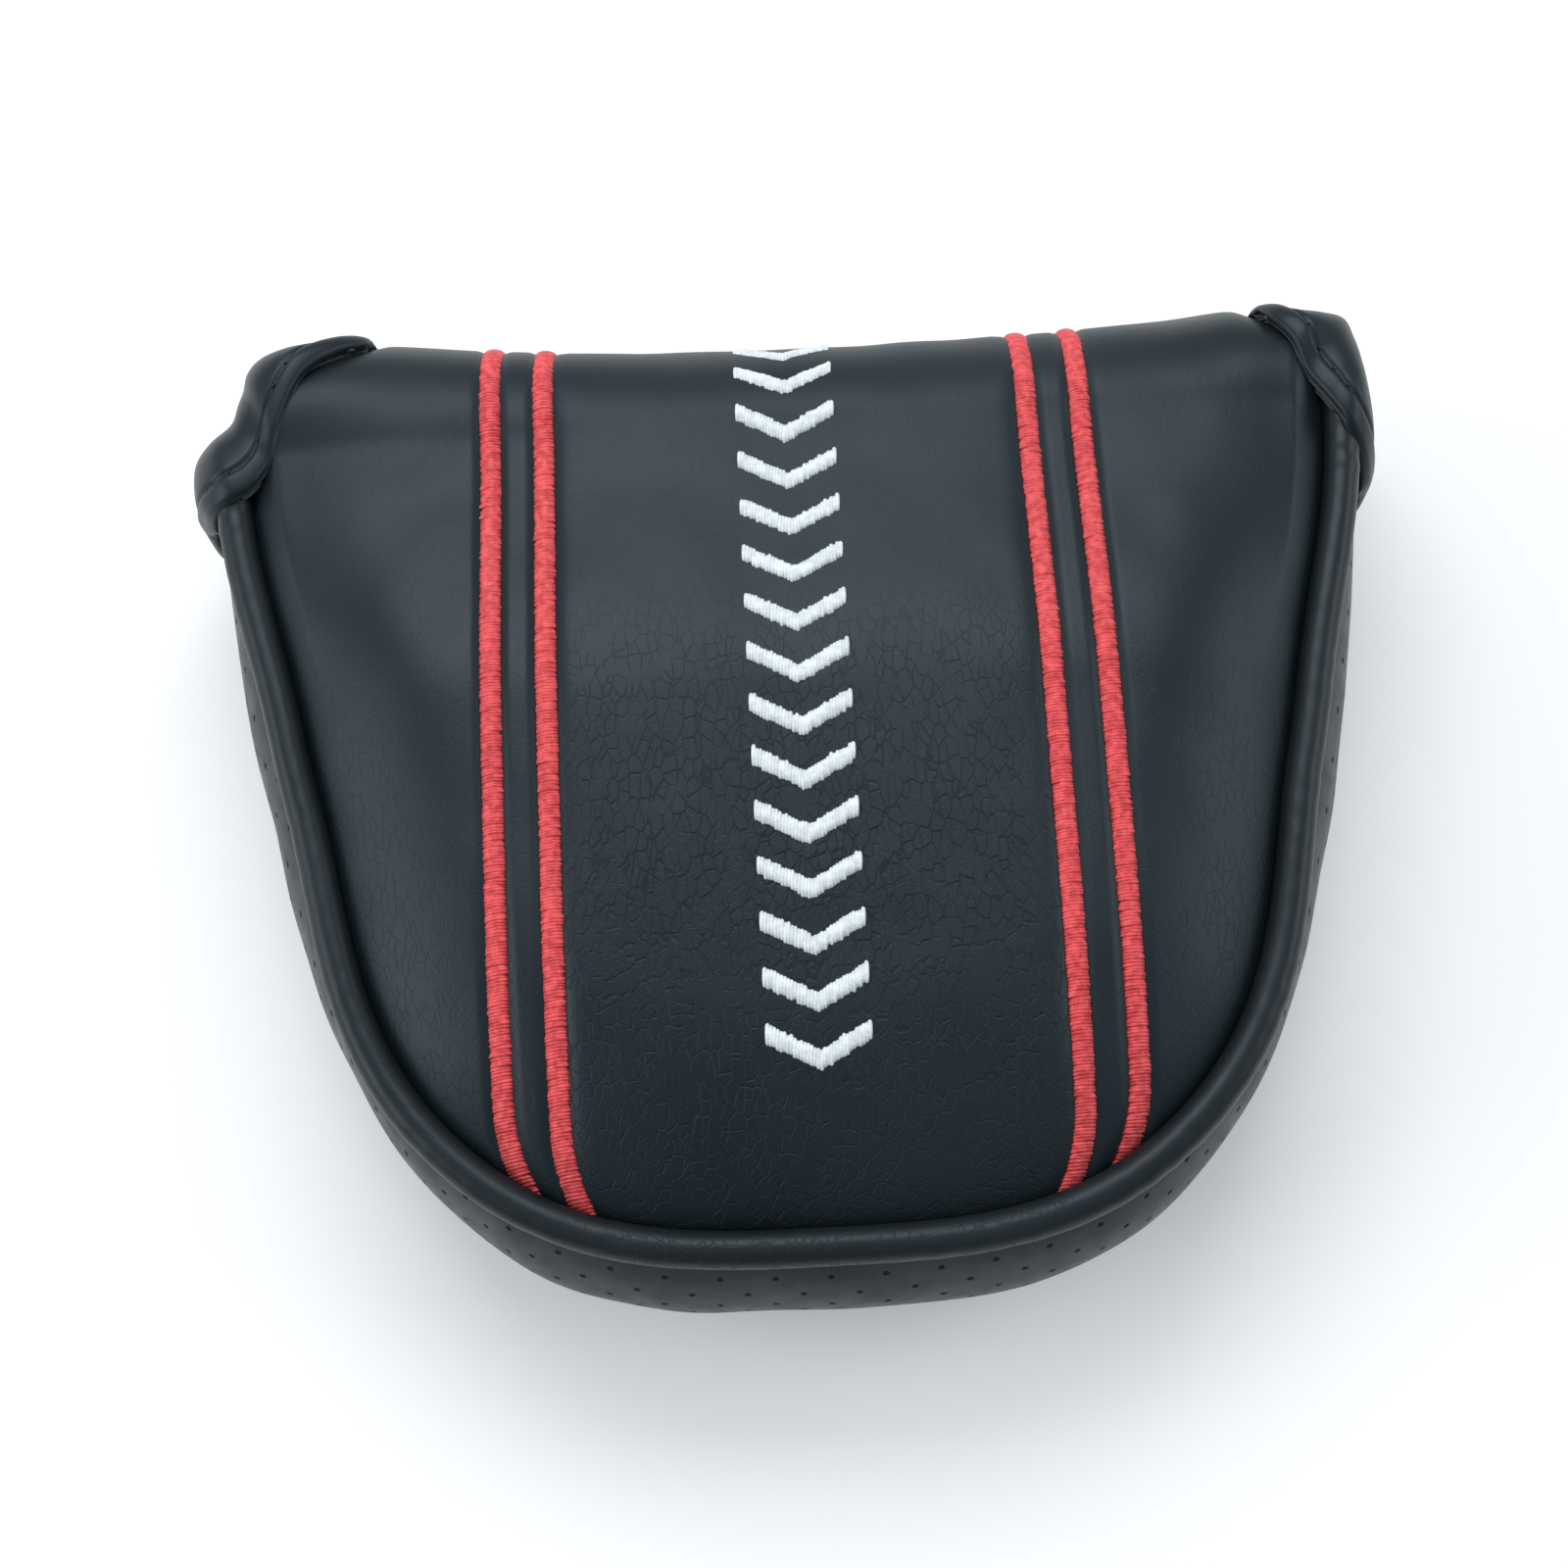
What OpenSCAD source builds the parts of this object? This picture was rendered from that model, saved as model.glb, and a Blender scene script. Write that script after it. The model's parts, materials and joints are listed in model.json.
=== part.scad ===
// Padded cover for a mallet golf putter head.
// A D-shaped pouch lies on its back, front face up. A strap leaves the front panel at the mouth,
// folds round the mouth as a bridge and closes as a tongue on the back, held by magnets.
// X runs across the mouth, +Y points out of the mouth, +Z is up. All sizes are in millimetres.

/* [Outline] */
// Half of the pouch's greatest width, at the mouth line
pouch_half_w = 63; // [60:0.5:66]
// Length of the curved outline, from the mouth line to the tip
pouch_length = 104; // [100:1:108]
// How square the sides are
side_power = 3.2; // [2.8:0.1:3.6]
// How square the tip is
tip_power = 1.8; // [1.7:0.05:1.9]
// Distance from the bulging gusset to the piping's centre line
seam_inset = 5.5; // [5:0.1:6]

/* [Heights] */
// Height of the front piping's centre
front_seam_z = 28.5; // [27:0.5:30]
// Height of the back piping's centre
back_seam_z = 5; // [4.8:0.1:5.4]
// How far the front panel's dome rises above its seam
dome_rise = 7.5; // [6:0.5:9]
// Width of the dome's sloping margin
dome_margin = 30; // [24:1:34]

/* [Layers] */
// Thickness of the synthetic leather
leather_t = 1.1; // [0.9:0.1:1.2]
// Thickness of the foam behind the front panel
foam_t = 3; // [2:0.5:3.5]
// Thickness of the fleece lining
lining_t = 1; // [0.8:0.1:1.1]
// Radius of the leather piping
piping_r = 1.9; // [1.6:0.1:1.9]
// Radius of the cord inside the piping
piping_cord_r = 1.1; // [0.8:0.1:1.2]

/* [Flap] */
// Half width of the bridge at the front fold
bridge_half_w = 46.5; // [44:0.5:46.5]
// Half width of the tongue at the back fold
tongue_half_w = 36.5; // [35.5:0.5:38]
// Distance from the middle of the pouch to the tongue's end
tongue_reach = 8; // [4:1:9]
// Radius of the tongue's end corners
tongue_corner_r = 12; // [8:1:14]
// Radius of the two folds, on the outside
fold_r = 12; // [12:1:12]
// Radius of each magnet
magnet_r = 6; // [5:0.5:6.5]
// Thickness of each magnet
magnet_t = 1.2; // [1:0.1:1.2]

/* [Embroidery] */
// Centre of the inner stripe of each pair
stripe_inner_x = 26.1; // [24:0.1:27]
// Centre of the outer stripe of each pair
stripe_outer_x = 31.7; // [30:0.1:32.5]
// Width of a stripe
stripe_w = 1.7; // [1.4:0.1:2]
// Width of the chevron column
motif_w = 10; // [8:0.5:11]
// Width of a chevron's stroke
motif_stroke = 2.3; // [1.8:0.1:2.4]
// Distance from one chevron to the next
motif_pitch = 5.6; // [5:0.1:6.2]

/* [Hidden] */
$fn = 64;
mouth_y = 51.5;
gap = 0.05;
tip_y = mouth_y - pouch_length;
gusset_t = leather_t - 0.1;
gusset_lining_t = 0.85;
panel_inset = seam_inset + piping_r + 0.2;
front_edge_z = front_seam_z - 0.5;
gusset_top_z = front_seam_z - piping_r - 0.2;
gusset_bottom_z = back_seam_z + piping_r + 0.2;
gusset_mid_z = (gusset_top_z + gusset_bottom_z) / 2;
gusset_end_y = 33.7;
piping_end_y = 33.5;

// The folds' circles, with their centres one above the other behind the mouth line.
fold_y = 39.5;
fold_top_z = 31;
upper_fold_z = fold_top_z - fold_r;
lower_fold_z = fold_r;
hinge_angle = 45;
hinge_clear_angle = 1.5;

// Flap layers, as distances in from its outer face.
embroidery_t = 0.45;
flap_pad_t = 1.7;
flap_lining_t = 1;
flap_pad_in = leather_t + gap;
flap_lining_in = flap_pad_in + flap_pad_t + gap;
flap_t = flap_lining_in + flap_lining_t;
tongue_clear = 0.5;

// Back panel: flat under the tongue, and a low pad that meets the table beyond its end.
back_flat_z = flap_t + tongue_clear;
back_pad_margin = 16;
back_ramp_y = -tongue_reach - 3;
back_ramp_len = 10;
back_mouth_y = 31;
back_corner_y = 37;
back_inner_z = back_flat_z + leather_t + gap + 3;

// Corner hoods: a soft cap round each corner of the mouth.
hood_x = 45;
hood_y = 34;
hood_rx = 18.3;
hood_ry = 18.5;
hood_mid_z = 17.5;
hood_half_h = 17;
hood_plan_power = 3;
hood_side_power = 3.5;
hood_inner_x = 47.3;
hood_hem_low = 40;
hood_hem_rise = 27.3;
hood_press = 2;
hood_press_normal = [0.79, 0.61];
hood_press_x = 15.7;
hood_press_start = 5;
hood_press_width = 6;
hood_t = leather_t;
hood_lining_t = 0.9;

magnet_x = 18;
magnet_y = 6;
motif_slope = 0.55;
motif_end_y = -31;
motif_top_y = 44.5;
bridge_motif_z = 8;

stripe_columns = [-stripe_outer_x, -stripe_inner_x, stripe_inner_x, stripe_outer_x];

// ---- Plain maths -------------------------------------------------------------------------------

function mix(a, b, t) = a + (b - a) * t;
function clamp01(t) = min(1, max(0, t));
function smooth(t) = let (k = clamp01(t)) k * k * (3 - 2 * k);

// ---- Outline: a superellipse that is open at the mouth line ------------------------------------

function outline_x(y, inset) =
    (pouch_half_w - inset)
    * pow(max(0, 1 - pow(clamp01((mouth_y - y) / (pouch_length - inset)), tip_power)), 1 / side_power);

function outline_y(x, inset) =
    mouth_y - (pouch_length - inset)
    * pow(max(0, 1 - pow(clamp01(abs(x) / (pouch_half_w - inset)), side_power)), 1 / tip_power);

// Point on the outline at angle t, from 0 at the right end of the mouth line to 180 at the left.
function outline_point(t, inset) = [
    (pouch_half_w - inset) * sign(cos(t)) * pow(abs(cos(t)), 2 / side_power),
    mouth_y - (pouch_length - inset) * pow(sin(t), 2 / tip_power)
];

// The angle at which the outline reaches a given y.
function outline_angle(y, inset) = asin(pow((mouth_y - y) / (pouch_length - inset), tip_power / 2));

// Distance inwards from the outline, to first order: how far the level is from 1, over its slope.
function edge_distance(x, y, inset) =
    let (
        a = pouch_half_w - inset,
        b = pouch_length - inset,
        u = abs(x) / a,
        v = max(0, mouth_y - y) / b,
        slope_x = side_power * pow(u, side_power - 1) / a,
        slope_y = tip_power * pow(v, tip_power - 1) / b,
        level = pow(u, side_power) + pow(v, tip_power)
    )
    max(0, 1 - level) / max(1e-4, norm([slope_x, slope_y]));

// ---- Surfaces ----------------------------------------------------------------------------------

function pillow(x, y, margin) = 1 - pow(1 - clamp01(edge_distance(x, y, seam_inset) / margin), 2.5);

// How deeply the hood presses the front panel, from a little short of the hood's edge.
function hood_pressure(x, y) =
    let (past_hem = hood_press_normal * [abs(x) - hood_x - hood_press_x, y - hood_y])
    hood_press * smooth((past_hem + hood_press_start) / hood_press_width);

// Height of the front panel's outer face: a dome that levels off towards the front fold.
function front_z(x, y) =
    let (dome = front_edge_z + dome_rise * pillow(x, y, dome_margin))
    dome - smooth((y - 8) / (fold_y - 8)) * max(0, dome - fold_top_z) - hood_pressure(x, y);

// How far the front fold has curved down at a given y.
function fold_drop(y) = let (past = max(0, y - fold_y)) fold_r - sqrt(fold_r * fold_r - past * past);

// Height of the back panel's outer face.
function back_z(x, y) =
    back_flat_z * (1 - smooth((back_ramp_y - y) / back_ramp_len) * pillow(x, y, back_pad_margin));

// ---- Building blocks ---------------------------------------------------------------------------

// A closed solid between an upper and a lower grid of points with the same rows and columns.
module skin(upper, lower) {
    rows = len(upper);
    cols = len(upper[0]);
    layer = rows * cols;
    function at(r, c) = r * cols + c;
    rim = concat(
        [for (c = [0 : cols - 2]) at(0, c)],
        [for (r = [0 : rows - 2]) at(r, cols - 1)],
        [for (c = [cols - 1 : -1 : 1]) at(rows - 1, c)],
        [for (r = [rows - 1 : -1 : 1]) at(r, 0)]
    );
    polyhedron(
        points = concat([for (row = upper) each row], [for (row = lower) each row]),
        faces = concat(
            [for (r = [0 : rows - 2], c = [0 : cols - 2]) each [
                [at(r, c), at(r + 1, c), at(r + 1, c + 1)],
                [at(r, c), at(r + 1, c + 1), at(r, c + 1)]
            ]],
            [for (r = [0 : rows - 2], c = [0 : cols - 2]) each [
                [layer + at(r, c), layer + at(r + 1, c + 1), layer + at(r + 1, c)],
                [layer + at(r, c), layer + at(r, c + 1), layer + at(r + 1, c + 1)]
            ]],
            [for (i = [0 : len(rim) - 1]) let (a = rim[i], b = rim[(i + 1) % len(rim)]) each [
                [a, b, layer + b],
                [a, layer + b, layer + a]
            ]]
        ),
        convexity = 8
    );
}

// A tube, or with a bore a pipe, along the outline: sides wall points swept through the stations.
module outline_tube(inset, z, r, bore, sides) {
    first = outline_angle(piping_end_y, inset);
    steps = 44;
    function ring(t, radius) = let (
        p = outline_point(t, inset),
        ahead = outline_point(t + 0.5, inset) - outline_point(t - 0.5, inset),
        out = [ahead[1], -ahead[0]] / norm(ahead)
    ) [for (k = [0 : sides]) let (a = 360 * k / sides)
        [p[0] - out[0] * radius * cos(a), p[1] - out[1] * radius * cos(a), z + radius * sin(a)]];
    stations = [for (i = [0 : steps]) mix(first, 180 - first, i / steps)];
    wall = [for (t = stations) ring(t, r)];
    core = [for (t = stations) ring(t, bore)];
    if (bore > 0) {
        ring_solid(wall, core);
    } else {
        rod_solid(wall);
    }
}

// Closed pipe between an outer and an inner set of rings.
module ring_solid(outer, inner) {
    rings = len(outer);
    sides = len(outer[0]) - 1;
    layer = rings * sides;
    function at(i, k) = i * sides + k % sides;
    polyhedron(
        points = concat(
            [for (ring = outer, k = [0 : sides - 1]) ring[k]],
            [for (ring = inner, k = [0 : sides - 1]) ring[k]]
        ),
        faces = concat(
            [for (i = [0 : rings - 2], k = [0 : sides - 1]) each [
                [at(i, k), at(i, k + 1), at(i + 1, k + 1)],
                [at(i, k), at(i + 1, k + 1), at(i + 1, k)],
                [layer + at(i, k), layer + at(i + 1, k + 1), layer + at(i, k + 1)],
                [layer + at(i, k), layer + at(i + 1, k), layer + at(i + 1, k + 1)]
            ]],
            [for (k = [0 : sides - 1]) each [
                [at(0, k + 1), at(0, k), layer + at(0, k)],
                [at(0, k + 1), layer + at(0, k), layer + at(0, k + 1)],
                [at(rings - 1, k), at(rings - 1, k + 1), layer + at(rings - 1, k + 1)],
                [at(rings - 1, k), layer + at(rings - 1, k + 1), layer + at(rings - 1, k)]
            ]]
        ),
        convexity = 8
    );
}

// Closed rod through a set of rings.
module rod_solid(wall) {
    rings = len(wall);
    sides = len(wall[0]) - 1;
    function at(i, k) = i * sides + k % sides;
    polyhedron(
        points = [for (ring = wall, k = [0 : sides - 1]) ring[k]],
        faces = concat(
            [for (i = [0 : rings - 2], k = [0 : sides - 1]) each [
                [at(i, k), at(i, k + 1), at(i + 1, k + 1)],
                [at(i, k), at(i + 1, k + 1), at(i + 1, k)]
            ]],
            [for (k = [1 : sides - 2]) [at(0, 0), at(0, k + 1), at(0, k)]],
            [for (k = [1 : sides - 2]) [at(rings - 1, 0), at(rings - 1, k), at(rings - 1, k + 1)]]
        ),
        convexity = 8
    );
}

// ---- Front panel and what lies behind it -------------------------------------------------------

// Rows of the front panel: along the dome by y, then round the front fold by angle.
dome_rows = 13;
fold_rows = 3;
front_cols = 8;
front_last_y = fold_y - 2;

function front_row_y(i, inset) =
    let (last = outline_angle(front_last_y, inset))
    outline_point(mix(87, last, i / dome_rows), inset)[1];

// Half width of the panel: the outline, then a cut corner under the hood.
function front_half_w(y, inset) =
    min(
        outline_x(min(y, front_last_y), inset),
        mix(outline_x(front_last_y, inset), bridge_half_w, clamp01((y - front_last_y) / 8))
    );

function front_grid(inset, depth) = concat(
    [for (i = [0 : dome_rows]) let (y = front_row_y(i, inset), w = front_half_w(y, inset))
        [for (k = [-front_cols : front_cols]) let (x = w * sin(90 * k / front_cols))
            [x, y, front_z(x, y) - depth]]],
    [for (i = [0 : fold_rows]) let (
        a = (hinge_angle - hinge_clear_angle) * i / fold_rows,
        y = fold_y + (fold_r - depth) * sin(a),
        w = front_half_w(fold_y + fold_r * sin(a), inset)
    ) [for (k = [-front_cols : front_cols]) let (x = w * sin(90 * k / front_cols))
        [x, y, front_z(x, fold_y) - fold_r + (fold_r - depth) * cos(a)
            + hood_pressure(x, fold_y) - hood_pressure(x, y)]]]
);

module front_layer(inset, depth, thickness) {
    skin(front_grid(inset, depth), front_grid(inset, depth + thickness));
}

module front_panel() {
    color([0.10, 0.11, 0.12]) front_layer(panel_inset, 0, leather_t);
}

module front_foam() {
    color([0.75, 0.75, 0.70]) front_layer(panel_inset + 0.5, leather_t + gap, foam_t);
}

module front_lining() {
    color([0.20, 0.20, 0.21]) front_layer(panel_inset + 0.5, leather_t + foam_t + 2 * gap, lining_t);
}

// ---- Piping and gusset -------------------------------------------------------------------------

module front_piping() {
    color([0.10, 0.11, 0.12]) outline_tube(seam_inset, front_seam_z, piping_r, piping_cord_r + gap, 8);
}

module front_piping_cord() {
    color("ivory") outline_tube(seam_inset, front_seam_z, piping_cord_r, 0, 8);
}

module back_piping() {
    color([0.10, 0.11, 0.12]) outline_tube(seam_inset, back_seam_z, piping_r, piping_cord_r + gap, 8);
}

module back_piping_cord() {
    color("ivory") outline_tube(seam_inset, back_seam_z, piping_cord_r, 0, 8);
}

// Inset of the bulging gusset at height z: none at mid height, the seam's at both edges.
function gusset_inset(z) = seam_inset * pow((z - gusset_mid_z) / (gusset_top_z - gusset_mid_z), 2);

function gusset_grid(depth) =
    let (steps = 40, levels = 6)
    [for (i = [0 : steps]) [for (k = [0 : levels]) let (
        z = mix(gusset_bottom_z, gusset_top_z, k / levels),
        inset = gusset_inset(z) + depth,
        first = outline_angle(gusset_end_y, inset),
        p = outline_point(mix(first, 180 - first, i / steps), inset)
    ) [p[0], p[1], z]]];

module gusset() {
    color([0.12, 0.12, 0.13]) skin(gusset_grid(0), gusset_grid(gusset_t));
}

module gusset_lining() {
    color([0.20, 0.20, 0.21]) skin(gusset_grid(gusset_t + gap), gusset_grid(gusset_t + gap + gusset_lining_t));
}

// ---- Back panel and what lies behind it --------------------------------------------------------

// Mouth edge of the back panel: a notch for the shaft between two corners that run up to the hoods.
function back_end_y(x) = mix(back_mouth_y, back_corner_y, smooth((abs(x) - 41) / 8));

// Columns run from the outline to the mouth edge, with rows closer together on the pad's ramp.
function back_grid(inset, depth, flat) =
    let (half = 10, rows = 12, widest = 0.985 * (pouch_half_w - inset))
    [for (i = [0 : rows]) [for (k = [-half : half]) let (
        x = widest * sin(90 * k / half),
        y = mix(outline_y(x, inset), back_end_y(x), i / rows)
    ) [x, y, flat > 0 ? flat : back_z(x, y) + depth]]];

module back_panel() {
    color([0.10, 0.11, 0.12]) skin(back_grid(panel_inset, leather_t, 0), back_grid(panel_inset, 0, 0));
}

module back_foam() {
    color([0.75, 0.75, 0.70]) difference() {
        skin(
            back_grid(panel_inset, 0, back_inner_z),
            back_grid(panel_inset, leather_t + gap, 0)
        );
        magnet_pair(back_flat_z + leather_t - 0.2, magnet_r + 0.1, magnet_t + 0.4);
    }
}

module back_lining() {
    color([0.20, 0.20, 0.21]) skin(
        back_grid(panel_inset + 0.5, 0, back_inner_z + gap + lining_t),
        back_grid(panel_inset + 0.5, 0, back_inner_z + gap)
    );
}

module magnet_pair(z, r, h) {
    for (side = [-1, 1]) {
        translate([side * magnet_x, magnet_y, z]) cylinder(r = r, h = h);
    }
}

module back_magnets() {
    color("silver") magnet_pair(back_flat_z + leather_t + gap, magnet_r, magnet_t);
}

// ---- Corner hoods ------------------------------------------------------------------------------

// Angle up the hood's side at which its hem lies, for each angle round the corner.
function hood_hem(a) = hood_hem_low + hood_hem_rise * sin(2 * a);

function hood_point(a, b, depth) =
    let (reach = pow(cos(b), 2 / hood_side_power)) [
        hood_x + (hood_rx - depth) * pow(cos(a), 2 / hood_plan_power) * reach,
        hood_y + (hood_ry - depth) * pow(sin(a), 2 / hood_plan_power) * reach,
        hood_mid_z + (hood_half_h - depth) * sign(sin(b)) * pow(abs(sin(b)), 2 / hood_side_power)
    ];

function hood_grid(depth) =
    let (
        rows = 14,
        half = 6,
        last = acos(pow((hood_inner_x - hood_x) / (hood_rx - 2.1) / 0.85, hood_plan_power / 2))
    )
    [for (i = [0 : rows]) let (a = last * smooth(i / rows), hem = hood_hem(a))
        [for (k = [-half : half]) hood_point(a, hem * k / half, depth)]];

module hood(depth, thickness) {
    skin(hood_grid(depth), hood_grid(depth + thickness));
}

module right_hood() {
    color([0.12, 0.13, 0.14]) hood(0, hood_t);
}

module left_hood() {
    mirror([1, 0, 0]) right_hood();
}

module right_hood_lining() {
    color([0.20, 0.20, 0.21]) hood(hood_t + gap, hood_lining_t);
}

module left_hood_lining() {
    mirror([1, 0, 0]) right_hood_lining();
}

// ---- Embroidery on the front panel -------------------------------------------------------------

// A thread strip lies a little above the leather and follows it to the front fold.
module front_stripe(x) {
    first_y = outline_y(abs(x) + stripe_w, panel_inset + 0.5);
    lift = 0.2;
    rows = 20;
    function strip(rise) = concat(
        [for (i = [0 : rows]) let (y = mix(first_y, fold_y, i / rows))
            [for (side = [-1, 1]) let (px = x + side * stripe_w / 2) [px, y, front_z(px, y) + rise]]],
        [for (a = [10 : 10 : 40]) [for (side = [-1, 1]) let (px = x + side * stripe_w / 2)
            [px, fold_y + (fold_r + rise) * sin(a), upper_fold_z + (fold_r + rise) * cos(a)]]]
    );
    color("crimson") skin(strip(lift + embroidery_t), strip(lift));
}

// One chevron of satin stitch, pointing towards the tip.
module front_chevron(y) {
    half = motif_w / 2;
    lift = 0.2;
    function edge(shift, rise) = [for (k = [-2 : 2]) let (x = half * k / 2, py = y + motif_slope * abs(x) + shift)
        [x, py, front_z(x, py) - fold_drop(py) + rise]];
    skin(
        [edge(0, lift + embroidery_t), edge(motif_stroke, lift + embroidery_t)],
        [edge(0, lift), edge(motif_stroke, lift)]
    );
}

module front_motif() {
    color("white") for (y = [motif_end_y : motif_pitch : motif_top_y - motif_pitch]) {
        front_chevron(y);
    }
}

// ---- Flap: bridge and tongue -------------------------------------------------------------------

// Stretches a drawing in the YZ plane along X, from -half to +half.
module along_x(half) {
    rotate([90, 0, 90]) linear_extrude(height = 2 * half, center = true) children();
}

// Outer shape of the closed flap in the YZ plane, taken in by depth.
module flap_section(depth) {
    r = fold_r - depth;
    translate([fold_y, upper_fold_z]) circle(r = r);
    translate([fold_y, lower_fold_z]) circle(r = r);
    translate([fold_y - 60, depth]) square([60, fold_top_z - 2 * depth]);
    translate([fold_y, lower_fold_z]) square([r, upper_fold_z - lower_fold_z]);
    translate([fold_y - 1, depth]) square([1, fold_top_z - 2 * depth]);
}

module flap_wall(depth, thickness) {
    difference() {
        flap_section(depth);
        flap_section(depth + thickness);
    }
}

// The part of the flap between the two hinge lines, which run out at 45 degrees from the fold centres.
module bridge_zone() {
    a = hinge_angle + hinge_clear_angle;
    reach = 30;
    polygon([
        [fold_y, upper_fold_z],
        [fold_y + reach * sin(a), upper_fold_z + reach * cos(a)],
        [fold_y + reach, upper_fold_z],
        [fold_y + reach, lower_fold_z],
        [fold_y + reach * sin(a), lower_fold_z - reach * cos(a)],
        [fold_y, lower_fold_z]
    ]);
}

// Everything below the lower hinge line, as far as the tongue's end.
module tongue_zone() {
    a = hinge_angle - hinge_clear_angle;
    reach = 30;
    polygon([
        [fold_y, lower_fold_z],
        [fold_y + reach * sin(a), lower_fold_z - reach * cos(a)],
        [fold_y, lower_fold_z - reach],
        [-tongue_reach - 5, lower_fold_z - reach],
        [-tongue_reach - 5, lower_fold_z]
    ]);
}

// Front view of the bridge: wide at the front fold, as wide as the tongue at the back fold.
module bridge_shape(margin) {
    top = bridge_half_w - margin;
    low = tongue_half_w - margin;
    rotate([90, 0, 0]) linear_extrude(height = 200, center = true)
        polygon([[-low, -5], [low, -5], [low, 5], [top, 28], [top, 40], [-top, 40], [-top, 28], [-low, 5]]);
}

// Plan of the tongue: nearly straight sides and two round corners.
module tongue_shape(margin) {
    low = tongue_half_w - 2 - margin;
    r = tongue_corner_r - margin;
    linear_extrude(height = 60, center = true) hull() {
        for (side = [-1, 1]) {
            translate([side * (low - r), -tongue_reach + margin + r]) circle(r = r, $fn = 32);
            translate([side * (tongue_half_w - margin) - (side > 0 ? 1 : 0), fold_y + 11]) square(1);
        }
    }
}

module bridge_layer(margin, depth, thickness) {
    intersection() {
        along_x(bridge_half_w) intersection() {
            flap_wall(depth, thickness);
            bridge_zone();
        }
        bridge_shape(margin);
    }
}

module tongue_layer(margin, depth, thickness) {
    intersection() {
        along_x(tongue_half_w) intersection() {
            flap_wall(depth, thickness);
            tongue_zone();
        }
        tongue_shape(margin);
    }
}

// Upright slabs in which the stripes run.
module stripe_slabs(extra) {
    for (x = stripe_columns) {
        translate([x - stripe_w / 2 - extra, -100, -20]) cube([stripe_w + 2 * extra, 200, 80]);
    }
}

// Chevrons drawn on the bridge's front view.
module bridge_chevrons(extra) {
    half = motif_w / 2 + extra;
    rotate([90, 0, 0]) linear_extrude(height = 200, center = true)
        for (i = [0 : 2]) translate([0, bridge_motif_z + i * motif_pitch]) polygon([
            [0, -extra], [half, motif_slope * half - extra], [half, motif_slope * half + motif_stroke + extra],
            [0, motif_stroke + extra], [-half, motif_slope * half + motif_stroke + extra],
            [-half, motif_slope * half - extra]
        ]);
}

module bridge_panel() {
    color([0.10, 0.11, 0.12]) difference() {
        bridge_layer(0, 0, leather_t);
        intersection() {
            bridge_layer(-1, -1, embroidery_t + 1 + gap);
            union() {
                stripe_slabs(gap);
                bridge_chevrons(gap);
            }
        }
    }
}

module bridge_pad() {
    color([0.75, 0.75, 0.70]) bridge_layer(3, flap_pad_in, flap_pad_t);
}

module bridge_lining() {
    color([0.20, 0.20, 0.21]) bridge_layer(0.5, flap_lining_in, flap_lining_t);
}

module bridge_stripes() {
    color("crimson") intersection() {
        bridge_layer(0, 0, embroidery_t);
        stripe_slabs(0);
    }
}

module bridge_motif() {
    color("white") intersection() {
        bridge_layer(0, 0, embroidery_t);
        bridge_chevrons(0);
    }
}

module tongue_panel() {
    color([0.10, 0.11, 0.12]) difference() {
        tongue_layer(0, 0, leather_t);
        intersection() {
            tongue_layer(-1, -1, embroidery_t + 1 + gap);
            stripe_slabs(gap);
            translate([-100, 4 - tongue_reach, -20]) cube([200, 200, 80]);
        }
    }
}

module tongue_stripes() {
    color("crimson") intersection() {
        tongue_layer(0, 0, embroidery_t);
        stripe_slabs(0);
        translate([-100, 4 - tongue_reach + gap, -20]) cube([200, 200, 80]);
    }
}

module tongue_pad() {
    color([0.75, 0.75, 0.70]) difference() {
        tongue_layer(3, flap_pad_in, flap_pad_t);
        magnet_pair(0, magnet_r + 0.1, 20);
    }
}

module tongue_magnets() {
    color("silver") magnet_pair(flap_pad_in + 0.2, magnet_r, magnet_t);
}

module tongue_lining() {
    color([0.20, 0.20, 0.21]) tongue_layer(0.5, flap_lining_in, flap_lining_t);
}

front_panel();
front_foam();
front_lining();
front_piping();
front_piping_cord();
gusset();
gusset_lining();
back_piping();
back_piping_cord();
back_panel();
back_foam();
back_lining();
back_magnets();
left_hood();
right_hood();
left_hood_lining();
right_hood_lining();
front_stripe(-stripe_outer_x);  // stripe_left_outer
front_stripe(-stripe_inner_x);  // stripe_left_inner
front_stripe(stripe_inner_x);  // stripe_right_inner
front_stripe(stripe_outer_x);  // stripe_right_outer
front_motif();
bridge_panel();
bridge_pad();
bridge_lining();
bridge_stripes();
bridge_motif();
tongue_panel();
tongue_pad();
tongue_magnets();
tongue_lining();
tongue_stripes();
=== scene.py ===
# %% [markdown]
# # A padded cover for a mallet putter head
# The cover is a D-shaped pouch of black synthetic leather over foam. It lies on its back. A strap
# runs on from the front panel, folds round the mouth and closes on the back with magnets.
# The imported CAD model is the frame: it says where every piece is and how the strap turns. This
# script keeps those places and makes the looks: padded leather, piping, perforations and thread.
# Sizes are in millimetres, and one number turns them into Blender's metres.

import json
import math

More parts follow.
